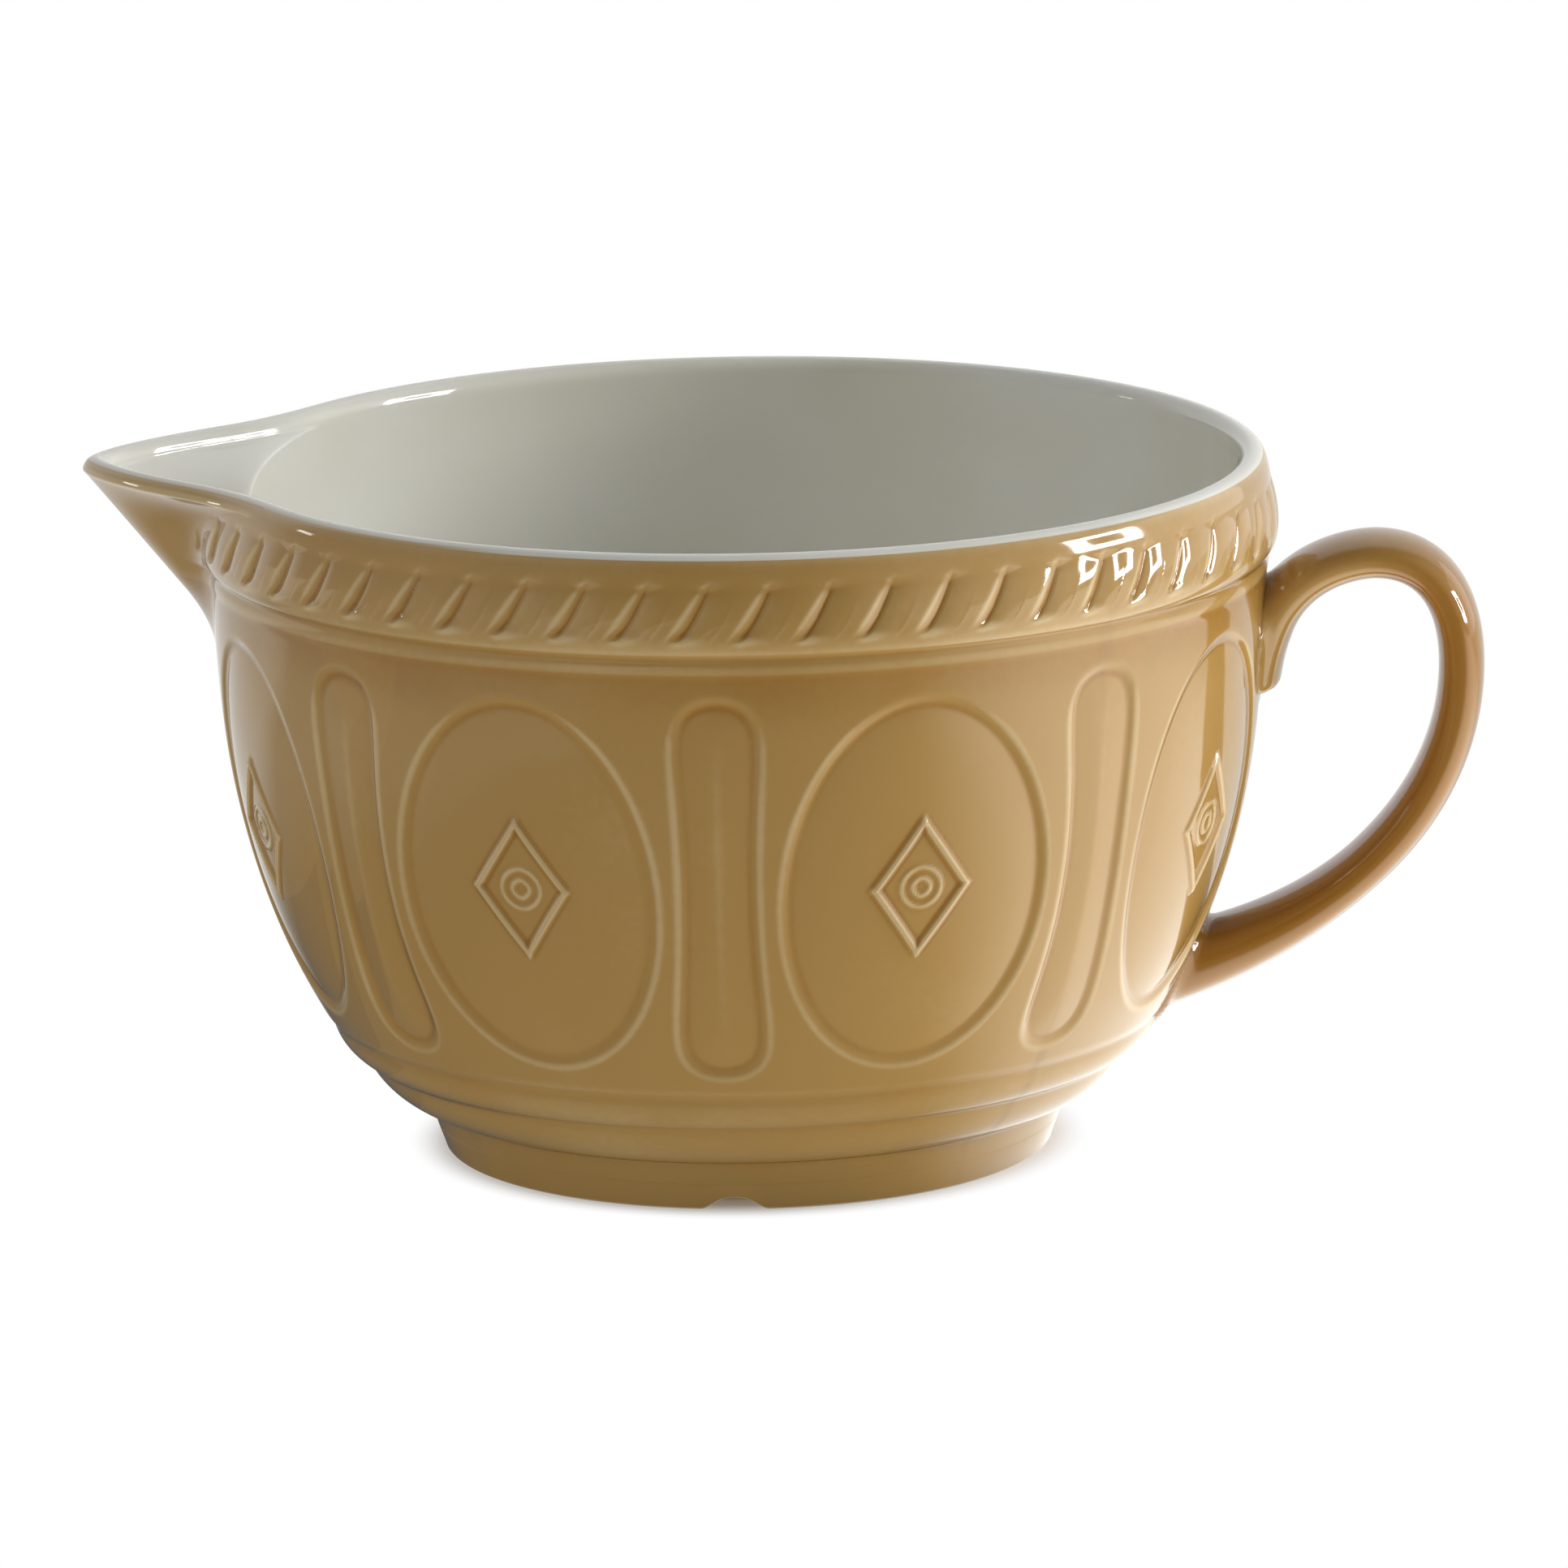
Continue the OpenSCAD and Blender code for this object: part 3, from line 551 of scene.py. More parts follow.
def addMix(nodes, links, shader, attribute, zero, one):
    # base colour that goes from zero to one by an attribute; each is a colour or a socket
    mask = nodes.new("ShaderNodeAttribute")
    mask.attribute_name = attribute
    mix = nodes.new("ShaderNodeMix")
    mix.data_type = "RGBA"
    links.new(mask.outputs["Fac"], mix.inputs["Factor"])
    for socket, colour in ((mix.inputs[6], zero), (mix.inputs[7], one)):
        if isinstance(colour, tuple):
            socket.default_value = (*colour, 1)
        else:
            links.new(colour, socket)
    links.new(mix.outputs[2], shader.inputs["Base Color"])
    return mask.outputs["Fac"]


caneGlaze = {
    # the darkest colour serves both glaze pooled in hollows and painted shade; one number below is the
    # strength of the painted shade under the bead
    "thin": (0.580, 0.420, 0.205), "body": (0.430, 0.255, 0.074), "pooledAndShaded": (0.330, 0.150, 0.022),
    "roughness": 0.065, "ior": 1.6, "poolAndShadeGain": 1.2, "edgeGain": 2.6, "underBeadShade": 0.18,
    "mottle": 0.15, "mottleScale": 22, "grain": 0.05, "grainScale": 420,
    "waveScale": 90, "waveStrength": 0.05, "waveHeight": 0.001,
}


def makeCane(name, hasPoolAndShade=True):
    # cane glaze: pale where it runs thin over edges, brown where it pools and where shade is painted,
    # with a soft cloudy variation; the shade is half, plus noise, plus the pooling and painted-shade
    # attribute times its gain
    p = caneGlaze
    material, nodes, links, shader = nodeMaterial(name, p["roughness"], ior=p["ior"])
    coords = nodes.new("ShaderNodeTexCoord")
    cloud = addNoise(nodes, links, coords, p["mottleScale"], 2)
    fine = addNoise(nodes, links, coords, p["grainScale"], 3)
    shade = addScaled(nodes, links, cloud, p["mottle"] * 2, 0.5 - p["mottle"])
    grain = addScaled(nodes, links, fine, p["grain"] * 2, -p["grain"])
    shade = addMath(nodes, links, "ADD", shade, grain)
    if hasPoolAndShade:
        depth = nodes.new("ShaderNodeAttribute")
        depth.attribute_name = "poolAndShade"
        # its positive part darkens, for glaze pooled in hollows and for painted shade under the bead and
        # on the handle
        hollow = addMath(nodes, links, "MAXIMUM", depth.outputs["Fac"], 0.0)
        edge = addMath(nodes, links, "MINIMUM", depth.outputs["Fac"], 0.0)
        hollow = addMath(nodes, links, "MULTIPLY", hollow, p["poolAndShadeGain"])
        edge = addMath(nodes, links, "MULTIPLY", edge, p["edgeGain"])
        shade = addMath(nodes, links, "ADD", shade, hollow)
        shade = addMath(nodes, links, "ADD", shade, edge, True)
    stops = ((0.05, p["thin"]), (0.5, p["body"]), (0.95, p["pooledAndShaded"]))
    ramp = addRamp(nodes, links, shade, stops)
    ramp.color_ramp.interpolation = "EASE"
    links.new(ramp.outputs["Color"], shader.inputs["Base Color"])
    wave = addNoise(nodes, links, coords, p["waveScale"], 2)
    addBump(nodes, links, shader, wave, p["waveStrength"], p["waveHeight"])
    return material


whiteGlaze = {
    "light": (0.880, 0.880, 0.825), "shade": (0.810, 0.785, 0.670), "edge": (0.600, 0.420, 0.220),
    "roughness": 0.06, "cloudScale": 16, "waveScale": 60, "waveStrength": 0.04, "waveHeight": 0.001,
}


def makeWhite(name):
    # white lining glaze: a faint cloudy tint, a slight waviness, thin and cane-coloured at its start
    p = whiteGlaze
    material, nodes, links, shader = nodeMaterial(name, p["roughness"])
    coords = nodes.new("ShaderNodeTexCoord")
    cloud = addNoise(nodes, links, coords, p["cloudScale"], 2)
    ramp = addRamp(nodes, links, cloud, ((0.3, p["light"]), (0.7, p["shade"])))
    addMix(nodes, links, shader, "white", p["edge"], ramp.outputs["Color"])
    wave = addNoise(nodes, links, coords, p["waveScale"], 2)
    addBump(nodes, links, shader, wave, p["waveStrength"], p["waveHeight"])
    return material


cane = makeCane("caneGlaze")
canePlain = makeCane("caneGlazePlain", False)
white = makeWhite("whiteGlaze")
print("materials made")


def finishPiece(piece, material, slot, *nodes):
    piece.data.materials.append(material)
    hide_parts(*nodes)
    return piece


# the outer skin

# pitch of the points on each part, every how many of them has one on the back, and the heights
# on the outside at which one patch ends and the next begins
grid = {"belly": 0.62, "rope": 0.42, "mould": 0.5, "back": 6, "wallThick": 2.2, "ropeThick": 1.6}
cuts = {"foot": 6.8, "mould": 24.5, "belly": 34.2, "keel": 115.0, "bead": 138.6, "rope": 143.0}
spoutFrom, spoutTo = 150, 210

allRound = np.linspace(0, 360, 961)[:-1]
for name, node, low, high in (
        ("lowerMoulding", "lower_moulding", cuts["foot"], cuts["mould"]),
        ("upperMoulding", "upper_moulding", cuts["mould"], cuts["belly"])):
    lengths = spaced(outerAt(low), outerAt(high), grid["mould"], 4)
    piece = skin(name, allRound, lengths, 2.0, 4, wrap=True)
    finishPiece(piece, cane, "cane", node)
print("mouldings made")

bellyNodes = ("belly_ground", "oval_panels", "waisted_panels", "lozenge_frames", "lozenge_rings")
bellyTurn = math.degrees(grid["belly"] / 120)
for k in range(8):
    # the patch under the spout stops lower, where the spout's keel begins
    top = outerAt(cuts["keel"] if k == 4 else cuts["bead"])
    azimuths = spaced(45 * k - 22.5, 45 * k + 22.5, bellyTurn, grid["back"])
    lengths = spaced(outerAt(cuts["belly"]), top, grid["belly"], grid["back"])
    piece = skin(f"belly{k}", azimuths, lengths, grid["wallThick"], grid["back"])
    finishPiece(piece, cane, "cane_light", *bellyNodes)
print("belly made")

azimuths = spaced(-spoutFrom, spoutFrom, 0.3, 6)
lengths = spaced(outerAt(cuts["bead"]), outerAt(cuts["rope"]), 0.4, 2)
finishPiece(skin("rimBead", azimuths, lengths, grid["wallThick"], 2), cane, "cane_light", "rim_bead")
ropeTurn = math.degrees(grid["rope"] / rope["radius"])
lengths = spaced(outerAt(cuts["rope"]), lipS, grid["rope"], grid["back"])
for k in range(4):
    low = -spoutFrom + 75 * k
    azimuths = spaced(low, low + 75, ropeTurn, grid["back"])
    piece = skin(f"ropeBand{k}", azimuths, lengths, grid["ropeThick"], grid["back"])
    finishPiece(piece, cane, "cane_light", "rope_band")
print("rope band made")

azimuths = spaced(157.5, 202.5, 0.13, grid["back"])
lengths = spaced(outerAt(cuts["keel"]), outerAt(cuts["bead"]), 0.5, grid["back"])
finishPiece(skin("spoutKeel", azimuths, lengths, 2.0, grid["back"]), cane, "cane", "spout")
azimuths = spaced(spoutFrom, spoutTo, 0.14, grid["back"])
lengths = spaced(outerAt(cuts["bead"]), lipS, 0.45, grid["back"])
piece = skin("spoutBrow", azimuths, lengths, grid["ropeThick"], grid["back"])
finishPiece(piece, cane, "cane", "spout")
print("spout made")

# the white lining

lining = {"thick": 0.9, "splitZ": 118.0, "wallPitch": 0.7, "floorPitch": 1.4, "spoutPitch": 0.5}
splitS = innerAt(lining["splitZ"])
azimuths = spaced(-spoutFrom, spoutFrom, 0.5, 6)
lengths = spaced(lipS, splitS, lining["wallPitch"], 6)
piece = skin("liningWall", azimuths, lengths, lining["thick"], 6)
finishPiece(piece, white, "white_glaze", "bowl_lining")
azimuths = np.linspace(0, 360, 481)[:-1]
lengths = spaced(splitS, float(profileS[-1]), lining["floorPitch"], 4)
piece = skin("liningFloor", azimuths, lengths, lining["thick"], 4, wrap=True, capEnd=True)
finishPiece(piece, white, "white_glaze", "bowl_lining")
azimuths = spaced(spoutFrom, spoutTo, 0.14, 6)
lengths = spaced(lipS, splitS, lining["spoutPitch"], 6)
piece = skin("spoutLining", azimuths, lengths, lining["thick"], 6)
finishPiece(piece, white, "white_glaze", "spout_lining")
print("lining made")

# the foot ring and the clay body

foot = {
    "innerR": 62.4, "outerR": 72.8, "height": 6.8, "edge": 1.1, "poolAndShade": 0.02, "topZ": 8.1,
    "outerLine": [(73.0, 1.6), (73.35, 2.6), (73.95, 4.2), (74.55, 5.9), (74.84, 6.8), (74.9, 7.7)],
    "notchCount": 3, "notchHalf": 7.6, "notchDepth": 2.9, "notchR": 67.5,
    "clay": (0.60, 0.48, 0.34), "dryness": 0.7,
}


def makeFoot():
    # a closed section turned about the axis, whose lower part is lifted over each drain notch
    p = foot
    e, r = p["edge"], p["innerR"]
    a = np.radians(np.linspace(0, -90, 7))
    outer = np.stack([p["outerR"] - e + e * np.cos(a), e + e * np.sin(a)], 1)
    face = np.stack([np.linspace(p["outerR"] - e, r + e, 14)[1:-1], np.zeros(12)], 1)
    a = np.radians(np.linspace(-90, -180, 7))
    inner = np.stack([r + e + e * np.cos(a), e + e * np.sin(a)], 1)
    up = [(r, 2.4), (r, 4.2), (r - 0.4, 5.6), (r - 1.2, p["height"])]
    top = [(r + 1.5, p["topZ"]), (73.4, p["topZ"])]
    loop = np.concatenate([outer, face, inner, up, top, p["outerLine"][::-1]])
    theta = np.radians(np.linspace(0, 360, 1081)[:-1])
    turn = 2 * math.pi / p["notchCount"]
    away = ((theta + math.pi / 2) / turn + 0.5) % 1 - 0.5
    x = np.clip(np.abs(away * turn * p["notchR"]) / p["notchHalf"], 0, 1)
    lift = p["notchDepth"] * (1 - x ** 2.6) ** 2.2
    r, plain = loop[:, :1], loop[:, 1:]
    z = lift[None, :] + plain * (p["height"] - lift[None, :]) / p["height"]
    z = np.where(plain > p["height"], plain, z)
    points = np.stack([r * np.cos(theta), r * np.sin(theta), z], -1)
    rows, cols = points.shape[:2]
    quads = gridQuads(rows, cols, True, True)[:, ::-1]
    bare = np.repeat((loop[:, 1] < 0.5).astype(float), cols)
    values = {"poolAndShade": np.full(rows * cols, p["poolAndShade"]), "bare": bare}
    return writeMesh("footRing", points.reshape(-1, 3), [quads], len(quads), None, values)


def makeFootGlaze(name):
    # cane glaze that ends in dry bare clay on the face that the bowl stands on
    material = makeCane(name)
    nodes, links = material.node_tree.nodes, material.node_tree.links
    shader = nodes["Principled BSDF"]
    glaze = shader.inputs["Base Color"].links[0].from_socket
    mask = addMix(nodes, links, shader, "bare", glaze, foot["clay"])
    rough = addScaled(nodes, links, mask, foot["dryness"], caneGlaze["roughness"])
    links.new(rough, shader.inputs["Roughness"])
    return material


finishPiece(makeFoot(), makeFootGlaze("caneGlazeFoot"), "cane_dark", "foot_ring")

core = {
    "fromZ": 7.5, "pitch": 1.6, "step": 0.3, "heights": (25, 37, 140, 146),
    "inset": (2.0, 2.2, 2.2, 1.7, 1.2, 0.9),
    "under": [(2.5, 6.5), (30, 6.5), (55, 6.5), (61, 6.6), (66, 7.0), (72, 7.4)],
}


def makeCore():
    # the clay inside the glazes: the plain skin moved in by a little along its normals, closed
    # underneath by a line turned about the axis
    p = core
    inside = spaced(lipS, float(profileS[-1]), p["pitch"], 1)[1:]
    lengths = np.concatenate([spaced(outerAt(p["fromZ"]), lipS, p["pitch"], 1), inside])
    azimuths = np.radians(np.linspace(0, 360, 361)[:-1])
    theta, s = np.meshgrid(azimuths, lengths)
    plain = surface(theta, s, relief=False)
    normals = skinNormals(theta, s, plain, p["step"], relief=False)
    marks = [outerAt(z) for z in p["heights"]] + [lipS, innerS]
    inner = plain - normals * np.interp(lengths, marks, p["inset"])[:, None, None]
    under = np.array(p["under"])
    far = np.concatenate([[0], np.cumsum(np.linalg.norm(np.diff(under, axis=0), axis=1))])
    at = np.linspace(0, far[-1], 28)
    r, z = np.interp(at, far, under[:, 0])[:, None], np.interp(at, far, under[:, 1])[:, None]
    z = z + 0 * azimuths[None, :]
    bottom = np.stack([r * np.cos(azimuths), r * np.sin(azimuths), z], -1)
    points = np.concatenate([bottom, inner])
    rows, cols = points.shape[:2]
    quads = gridQuads(rows, cols, wrapCols=True)
    ring = np.arange(cols)
    caps = [ring[None, ::-1], ((rows - 1) * cols + ring)[None, :]]
    return writeMesh("clayBody", points.reshape(-1, 3), [quads] + caps, len(quads))


finishPiece(makeCore(), canePlain, "cane", "bowl_body")
print("foot and clay body made")

# the handle

handleForm = {
    # places are X and Z of the strap's middle; the pulls are how far each curve reaches past its ends
    "toe": (122.75, 110.1), "peak": (150.6, 141.25), "side": (171.15, 115.0), "root": (92.6, 39.6),
    "toePull": 28.3, "peakIn": 4.4, "peakOut": 14.7, "sideUp": 14.2, "sideDown": 37.3,
    "rootPull": (45, 8.6), "halfT": 5.45, "halfW": 13.0, "topGrow": 1.6, "footGrow": 4.2,
    "flare": 3.0, "topReach": 46, "footReach": 62, "tip": 2.6, "tipT": 2.0, "tipW": 2.4,
    "oval": 0.9, "fillet": 3.2, "seat": 3.2, "brown": 0.42, "brownSpan": (25, 80),
    "stations": 220, "around": 96,
}


def bezier(a, b, c, d, t):
    # cubic curve from a to d with b and c as its pulls
    t = t[:, None]
    return (1 - t) ** 3 * a + 3 * t * (1 - t) ** 2 * b + 3 * t * t * (1 - t) * c + t ** 3 * d


def besideWall(points):
    # distance from the axis, and the radius of the plain outer wall at the same height
    outer = profileS < crestS
    wall = np.interp(points[..., 2], profileZ[outer], profileR[outer])
    return np.hypot(points[..., 0], points[..., 1]), wall


def makeHandle():
    # a flattened oval carried along three joined curves, swept outwards where it meets the wall
    p = handleForm
    toe, peak, side, root = (np.array(p[k]) for k in ("toe", "peak", "side", "root"))
    n = np.linspace(0, 1, 200)
    line = np.concatenate([
        bezier(toe, toe + [0, p["toePull"]], peak - [p["peakIn"], 0], peak, n),
        bezier(peak, peak + [p["peakOut"], 0], side + [0, p["sideUp"]], side, n)[1:],
        bezier(side, side - [0, p["sideDown"]], root + p["rootPull"], root, n)[1:]])
    far = np.concatenate([[0], np.cumsum(np.linalg.norm(np.diff(line, axis=0), axis=1))])
    at = np.linspace(0, far[-1], p["stations"])
    line = np.stack([np.interp(at, far, line[:, 0]), np.interp(at, far, line[:, 1])], 1)
    d = np.gradient(line, at, axis=0)
    d /= np.linalg.norm(d, axis=1, keepdims=True)
    # thicker and wider towards both ends, and the toe's end rounded over by a quarter circle
    nearTop = np.clip(1 - at / p["topReach"], 0, None) ** 2
    nearFoot = np.clip(1 - (far[-1] - at) / p["footReach"], 0, None) ** 1.6
    halfT = p["halfT"] + p["topGrow"] * nearTop * np.clip(at / 14, 0, 1) + p["footGrow"] * nearFoot
    halfW = p["halfW"] + p["flare"] * np.maximum(nearTop, nearFoot)
    tip = np.clip(at / p["tip"], 0, 1)
    close = np.sqrt(np.clip(1 - (1 - tip) ** 2, 0, 1))
    halfT = (halfT - p["tipT"] * (1 - close))[:, None]
    halfW = (halfW - p["tipW"] * (1 - close))[:, None]
    a = np.linspace(0, 2 * math.pi, p["around"] + 1)[:-1]
    ca = np.sign(np.cos(a)) * np.abs(np.cos(a)) ** p["oval"]
    sa = np.sign(np.sin(a)) * np.abs(np.sin(a)) ** p["oval"]
    dx, dz = d[:, :1], d[:, 1:]
    points = np.stack([line[:, :1] - dz * halfT * ca, halfW * sa, line[:, 1:] + dx * halfT * ca], -1)
    out = np.stack([-dz * ca * halfW, halfT * sa, dx * ca * halfW], -1)
    out /= np.linalg.norm(out, axis=-1, keepdims=True)
    # fillet: points near the wall move along it, by a quarter round of the distance that is left
    radius, wall = besideWall(points)
    gap = np.clip((radius - wall) / p["fillet"], 0, 1)
    push = p["fillet"] * (1 - np.sqrt(np.clip(1 - (1 - gap) ** 2, 0, 1)))
    outward = np.stack([points[..., 0] / radius, points[..., 1] / radius, 0 * radius], -1)
    turned = (out * outward).sum(-1, keepdims=True)
    along = out - outward * turned
    along /= np.linalg.norm(along, axis=-1, keepdims=True) + 1e-6
    facing = np.clip(1.25 - np.abs(turned) * 1.25, 0, 1)
    # painted shade: the strap darkens on its inner side and from past its top down its lower half; the
    # fillets are a little darker with glaze pooled there
    poolAndShade = p["brown"] * soft(at, *p["brownSpan"])[:, None] * (0.95 - 0.3 * ca)
    poolAndShade = poolAndShade + 0.035 * (1 - gap) * (radius > wall - 1)
    points = points + along * push[..., None] * facing
    # what lies deeper in the wall than the seat is squeezed, so that nothing comes out inside
    radius, wall = besideWall(points)
    squeeze = 0.98 * np.clip(wall - radius - p["seat"], 0, None)
    points[..., :2] *= (1 + squeeze / radius)[..., None]
    rows, cols = points.shape[:2]
    quads = gridQuads(rows, cols, wrapCols=True)[:, ::-1]
    ring = np.arange(cols)
    faces = [quads, ring[None, :], ((rows - 1) * cols + ring)[None, ::-1]]
    return writeMesh("handleStrap", points.reshape(-1, 3), faces, len(quads), None, {"poolAndShade": poolAndShade})


finishPiece(makeHandle(), cane, "cane", "handle")
print("handle made")

# floor, light and camera

# the paper lights the bowl from below, and the glazes mirror a floor and a room that are dark in
# front of the bowl and pale behind it and at its sides, more so on the side of the window
studio = {
    "floorSize": 9.0, "floorColour": 0.88, "shadowSpan": (0.066, 0.082),
    "bounceX": (-0.02, 0.22), "bounceLeft": 0.88, "bounceRight": 1.95,
    "shadeSpan": (0.07, 0.11), "shadeLeast": 0.6,
    "mirrorColour": (1, 0.98, 0.93), "floorGloss": 0.15, "nearSpan": (0.07, 0.13), "nearLeast": 0.85,
    "rightSine": (0.55, 0.97), "floorGlossRight": 1.9, "behindY": (0.05, 0.40), "behindLeast": 0.35,
    "leftX": (-0.45, -0.15), "floorGlossLeft": 0.5, "backY": (0.02, 0.24),
    "worldFill": 0.16, "glossFront": 0.04, "roomRight": (0.18, 0.95), "glossRight": 0.66,
    "roomLeft": (-0.95, -0.2), "glossLeft": 0.35, "roomBack": (0.05, 0.6), "glossBack": 0.95,
}


def addEmission(nodes, links, colour, strength):
    glow = nodes.new("ShaderNodeEmission")
    glow.inputs["Color"].default_value = (*colour, 1)
    if strength is not None:
        links.new(strength, glow.inputs["Strength"])
    return glow.outputs["Emission"]


def addBlend(nodes, links, factor, first, second):
    mix = nodes.new("ShaderNodeMixShader")
    for socket, value in zip(mix.inputs, (factor, first, second)):
        links.new(value, socket)
    return mix.outputs["Shader"]


def makeFloor():
    # a pale floor, white to the camera outside the bowl's shadow; to the glazes it gives off light
    # by the place it is seen at, and to everything else it is paper that lights the bowl
    p = studio
    bpy.ops.mesh.primitive_plane_add(size=p["floorSize"], location=(0, 0, -0.00005))
    floor = bpy.context.object
    floor.name = "floor"
    material, nodes, links, shader = nodeMaterial("paleFloor", 0.9, 0.1)
    shader.inputs["Base Color"].default_value = (p["floorColour"],) * 3 + (1,)
    coords = nodes.new("ShaderNodeTexCoord")
    split = nodes.new("ShaderNodeSeparateXYZ")
    links.new(coords.outputs["Object"], split.inputs[0])
    length = nodes.new("ShaderNodeVectorMath")
    length.operation = "LENGTH"
    links.new(coords.outputs["Object"], length.inputs[0])
    x, y, away = split.outputs["X"], split.outputs["Y"], length.outputs["Value"]

    sine = addMath(nodes, links, "DIVIDE", x, away)
    right = addRange(nodes, links, sine, *p["rightSine"], 0.0, p["floorGlossRight"])
    behind = addRange(nodes, links, y, *p["behindY"], 1.0, p["behindLeast"])
    right = addMath(nodes, links, "MULTIPLY", right, behind)
    left = addRange(nodes, links, x, *p["leftX"], p["floorGlossLeft"], p["floorGloss"])
    back = addRange(nodes, links, y, *p["backY"], 0.0, p["glossBack"])
    gloss = addMath(nodes, links, "MAXIMUM", addMath(nodes, links, "ADD", right, left), back)
    near = addRange(nodes, links, away, *p["nearSpan"], p["nearLeast"], 1.0)
    gloss = addMath(nodes, links, "MULTIPLY", gloss, near)
    mirror = addEmission(nodes, links, p["mirrorColour"], gloss)

    bounce = addRange(nodes, links, x, *p["bounceX"], p["bounceLeft"], p["bounceRight"])
    shade = addRange(nodes, links, away, *p["shadeSpan"], p["shadeLeast"], 1.0)
    bounce = addMath(nodes, links, "MULTIPLY", bounce, shade)
    paper = addEmission(nodes, links, (1, 1, 1), bounce)

    path = nodes.new("ShaderNodeLightPath")
    bright = addRange(nodes, links, away, *p["shadowSpan"], 0.0, 1.0)
    bright = addMath(nodes, links, "MULTIPLY", bright, path.outputs["Is Camera Ray"])
    plain = addEmission(nodes, links, (1, 1, 1), None)
    result = addBlend(nodes, links, bright, shader.outputs["BSDF"], plain)
    result = addBlend(nodes, links, path.outputs["Is Diffuse Ray"], result, paper)
    result = addBlend(nodes, links, path.outputs["Is Glossy Ray"], result, mirror)
    links.new(result, nodes["Material Output"].inputs["Surface"])
    floor.data.materials.append(material)


def makeWorld():
    # white to the camera, a soft even fill to the surfaces, and in reflections the room by direction
    p = studio
    world = bpy.data.worlds.new("studio")
    bpy.context.scene.world = world
    world.use_nodes = True
    nodes, links = world.node_tree.nodes, world.node_tree.links
    sky = nodes["Background"]
    path = nodes.new("ShaderNodeLightPath")
    coords = nodes.new("ShaderNodeTexCoord")
    split = nodes.new("ShaderNodeSeparateXYZ")
    links.new(coords.outputs["Generated"], split.inputs[0])
    x, y = split.outputs["X"], split.outputs["Y"]
    right = addRange(nodes, links, x, *p["roomRight"], p["glossFront"], p["glossRight"])
    left = addRange(nodes, links, x, *p["roomLeft"], p["glossLeft"], 0.0)
    back = addRange(nodes, links, y, *p["roomBack"], 0.0, p["glossBack"])
    room = addMath(nodes, links, "MAXIMUM", addMath(nodes, links, "ADD", right, left), back)
    room = addMath(nodes, links, "SUBTRACT", room, p["worldFill"])
    level = addScaled(nodes, links, path.outputs["Is Glossy Ray"], room, p["worldFill"])
    level = addMath(nodes, links, "MAXIMUM", level, path.outputs["Is Camera Ray"])
    sky.inputs["Color"].default_value = (1, 1, 1, 1)
    links.new(level, sky.inputs["Strength"])


lamps = {
    # azimuth and elevation in degrees, distance, width and height in metres, and radiance
    "keyWindow": (5, 20, 1.7, 0.62, 0.56, 13.0),
    "leftGlint": (167, 13, 2.4, 0.22, 0.12, 7.0),
    "sideWall": (25, 12, 2.6, 2.4, 1.6, 0.7),
    "overhead": (5, 55, 1.9, 1.6, 1.2, 1.1),
    "leftFill": (205, 28, 2.6, 1.8, 1.4, 1.4),
}
unmirrored = ("keyWindow", "overhead", "leftFill")  # left out of reflections
windowFrame = {"azimuth": -4, "elevation": 13, "distance": 1.7, "radiance": 32.0}
windowStrips = [  # sideways, upwards, width, height
    (0, 0.18, 0.58, 0.12), (0, -0.18, 0.58, 0.12), (-0.22, 0, 0.14, 0.24), (0.22, 0, 0.14, 0.24)]


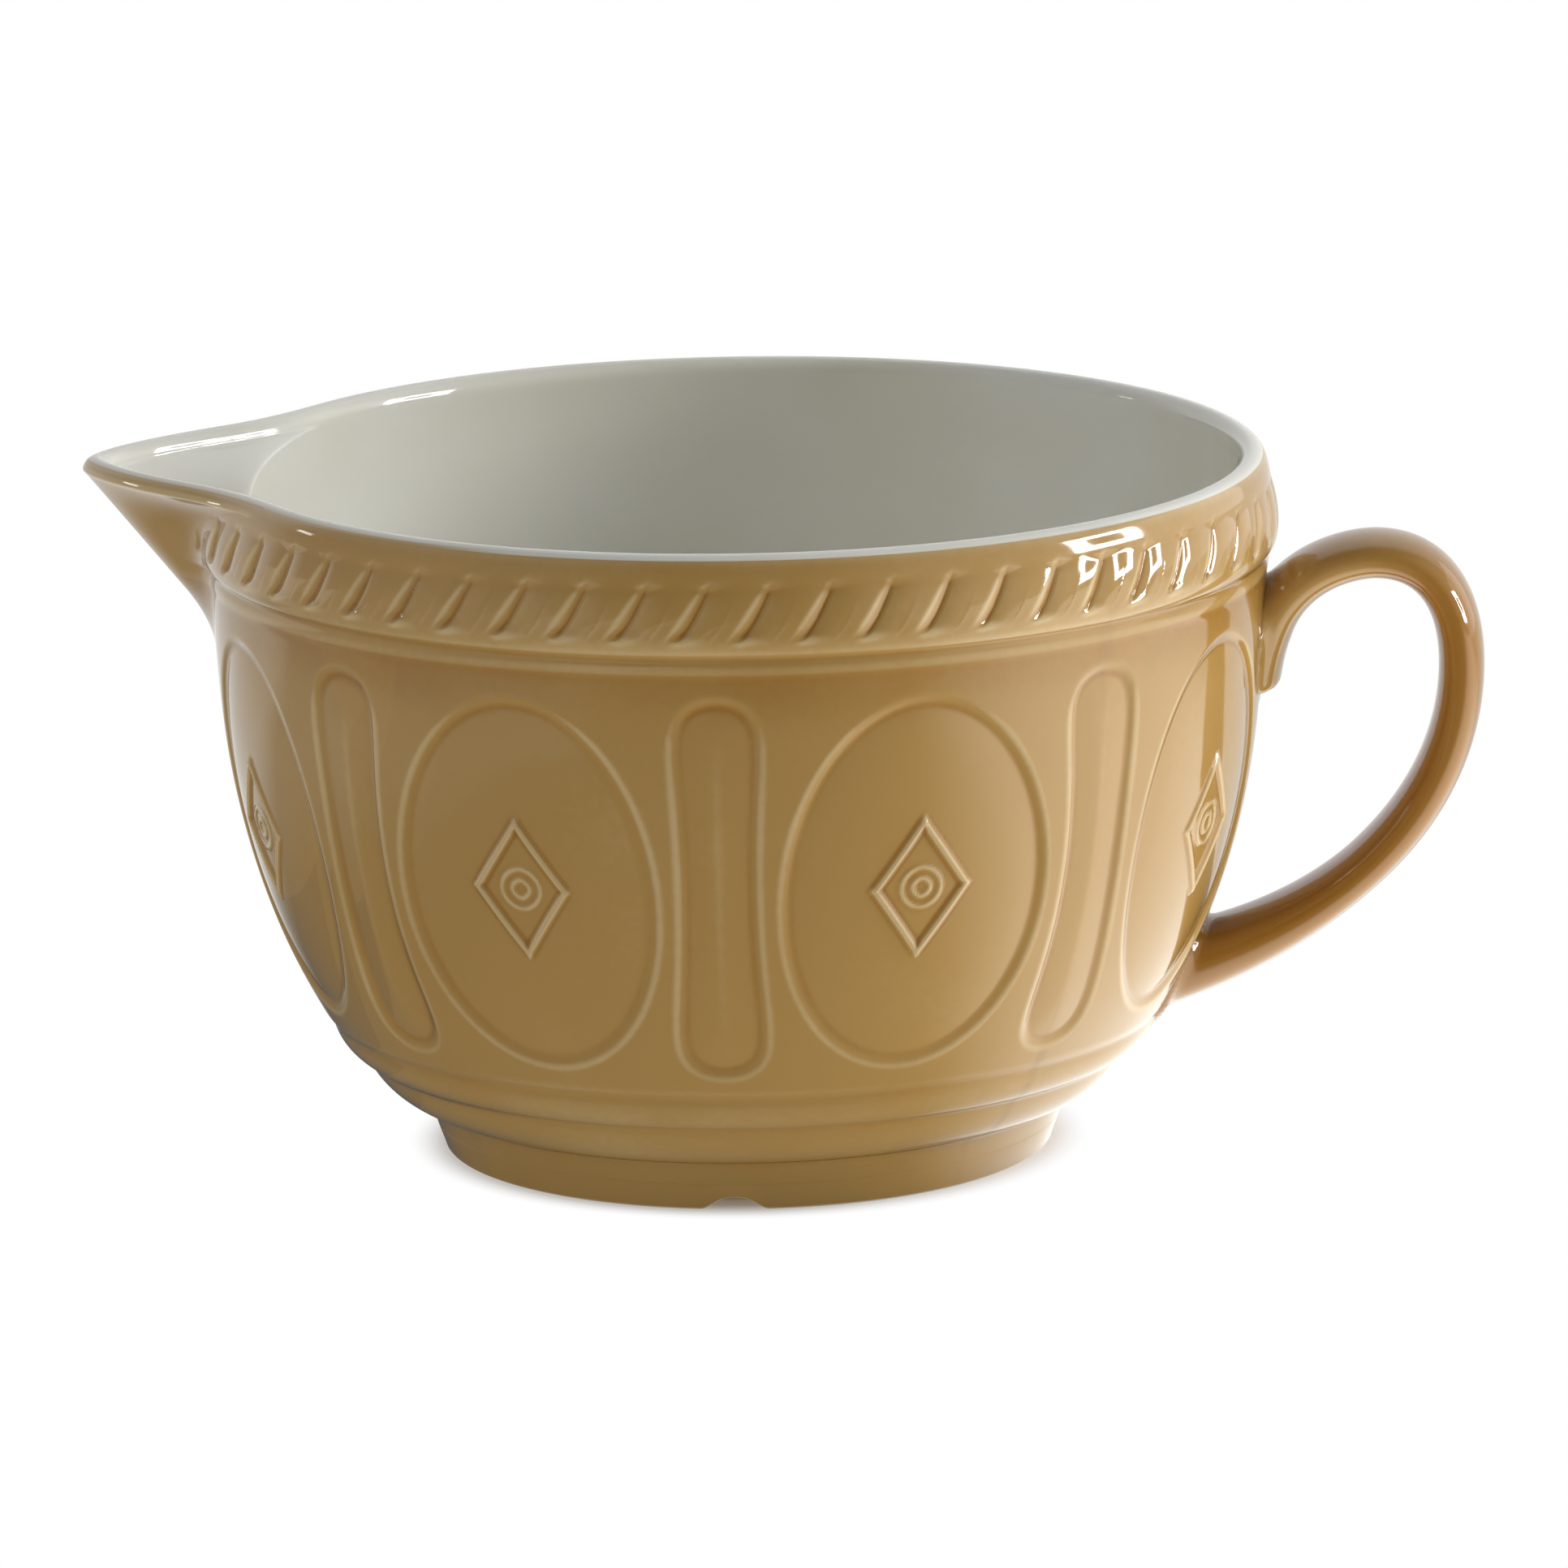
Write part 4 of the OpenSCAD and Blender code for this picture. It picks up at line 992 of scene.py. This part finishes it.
def addPanel(name, azimuth, elevation, distance, width, height, radiance, seen, lights, shift=(0, 0)):
    # a rectangular soft light that faces the bowl from a direction, as bright as its radiance; it
    # may be unseen in reflections, or give nothing but reflections, and be shifted in its plane
    lamp = bpy.data.lights.new(name, "AREA")
    lamp.shape = "RECTANGLE"
    lamp.size, lamp.size_y = width, height
    lamp.energy = radiance * math.pi * width * height
    holder = bpy.data.objects.new(name, lamp)
    a, e = math.radians(azimuth), math.radians(elevation)
    way = Vector((math.cos(a) * math.cos(e), math.sin(a) * math.cos(e), math.sin(e)))
    sideways = Vector((-math.sin(a), math.cos(a), 0))
    place = Vector((0, 0, 0.1)) + way * distance
    holder.location = place + sideways * shift[0] + way.cross(sideways) * shift[1]
    holder.rotation_euler = way.to_track_quat("Z", "Y").to_euler()
    holder.visible_camera = False
    holder.visible_glossy = seen
    holder.visible_diffuse = lights
    bpy.context.scene.collection.objects.link(holder)


makeFloor()
makeWorld()
for name, values in lamps.items():
    addPanel(name, *values, seen=name not in unmirrored, lights=name != "leftGlint")
for index, (sideways, upwards, width, height) in enumerate(windowStrips):
    # the window's bars, which are seen in the glaze and light nothing
    w = windowFrame
    addPanel(f"windowGlint{index}", w["azimuth"], w["elevation"], w["distance"], width, height,
             w["radiance"], seen=True, lights=False, shift=(sideways, upwards))

# the camera of the photograph: angles in degrees, roll in radians, its aim in millimetres to the
# right of the axis and above the floor, its distance in metres
view = {
    "azimuth": 2.64, "elevation": 12.64, "roll": -0.0156, "aside": 9.75, "height": 85.75,
    "distance": 2.828, "lens": 272.3, "sensor": 36, "clipEnd": 50,
}
a, e = math.radians(view["azimuth"]), math.radians(view["elevation"])
backWay = Vector((math.sin(a) * math.cos(e), -math.cos(a) * math.cos(e), math.sin(e)))
rightWay = Vector((math.cos(a), math.sin(a), 0))
upWay = backWay.cross(rightWay)
aim = rightWay * view["aside"] * 0.001 + Vector((0, 0, view["height"] * 0.001))
c, s = math.cos(view["roll"]), math.sin(view["roll"])
acrossWay, riseWay = rightWay * c + upWay * s, upWay * c - rightWay * s
camera = bpy.data.objects.new("camera", bpy.data.cameras.new("camera"))
camera.data.sensor_width = view["sensor"]
camera.data.lens = view["lens"]
camera.data.clip_end = view["clipEnd"]
spin = Matrix((acrossWay, riseWay, backWay)).transposed().to_4x4()
camera.matrix_world = Matrix.Translation(aim + backWay * view["distance"]) @ spin
bpy.context.scene.collection.objects.link(camera)
bpy.context.scene.camera = camera
bpy.context.scene.view_settings.view_transform = "Standard"
print("studio made")
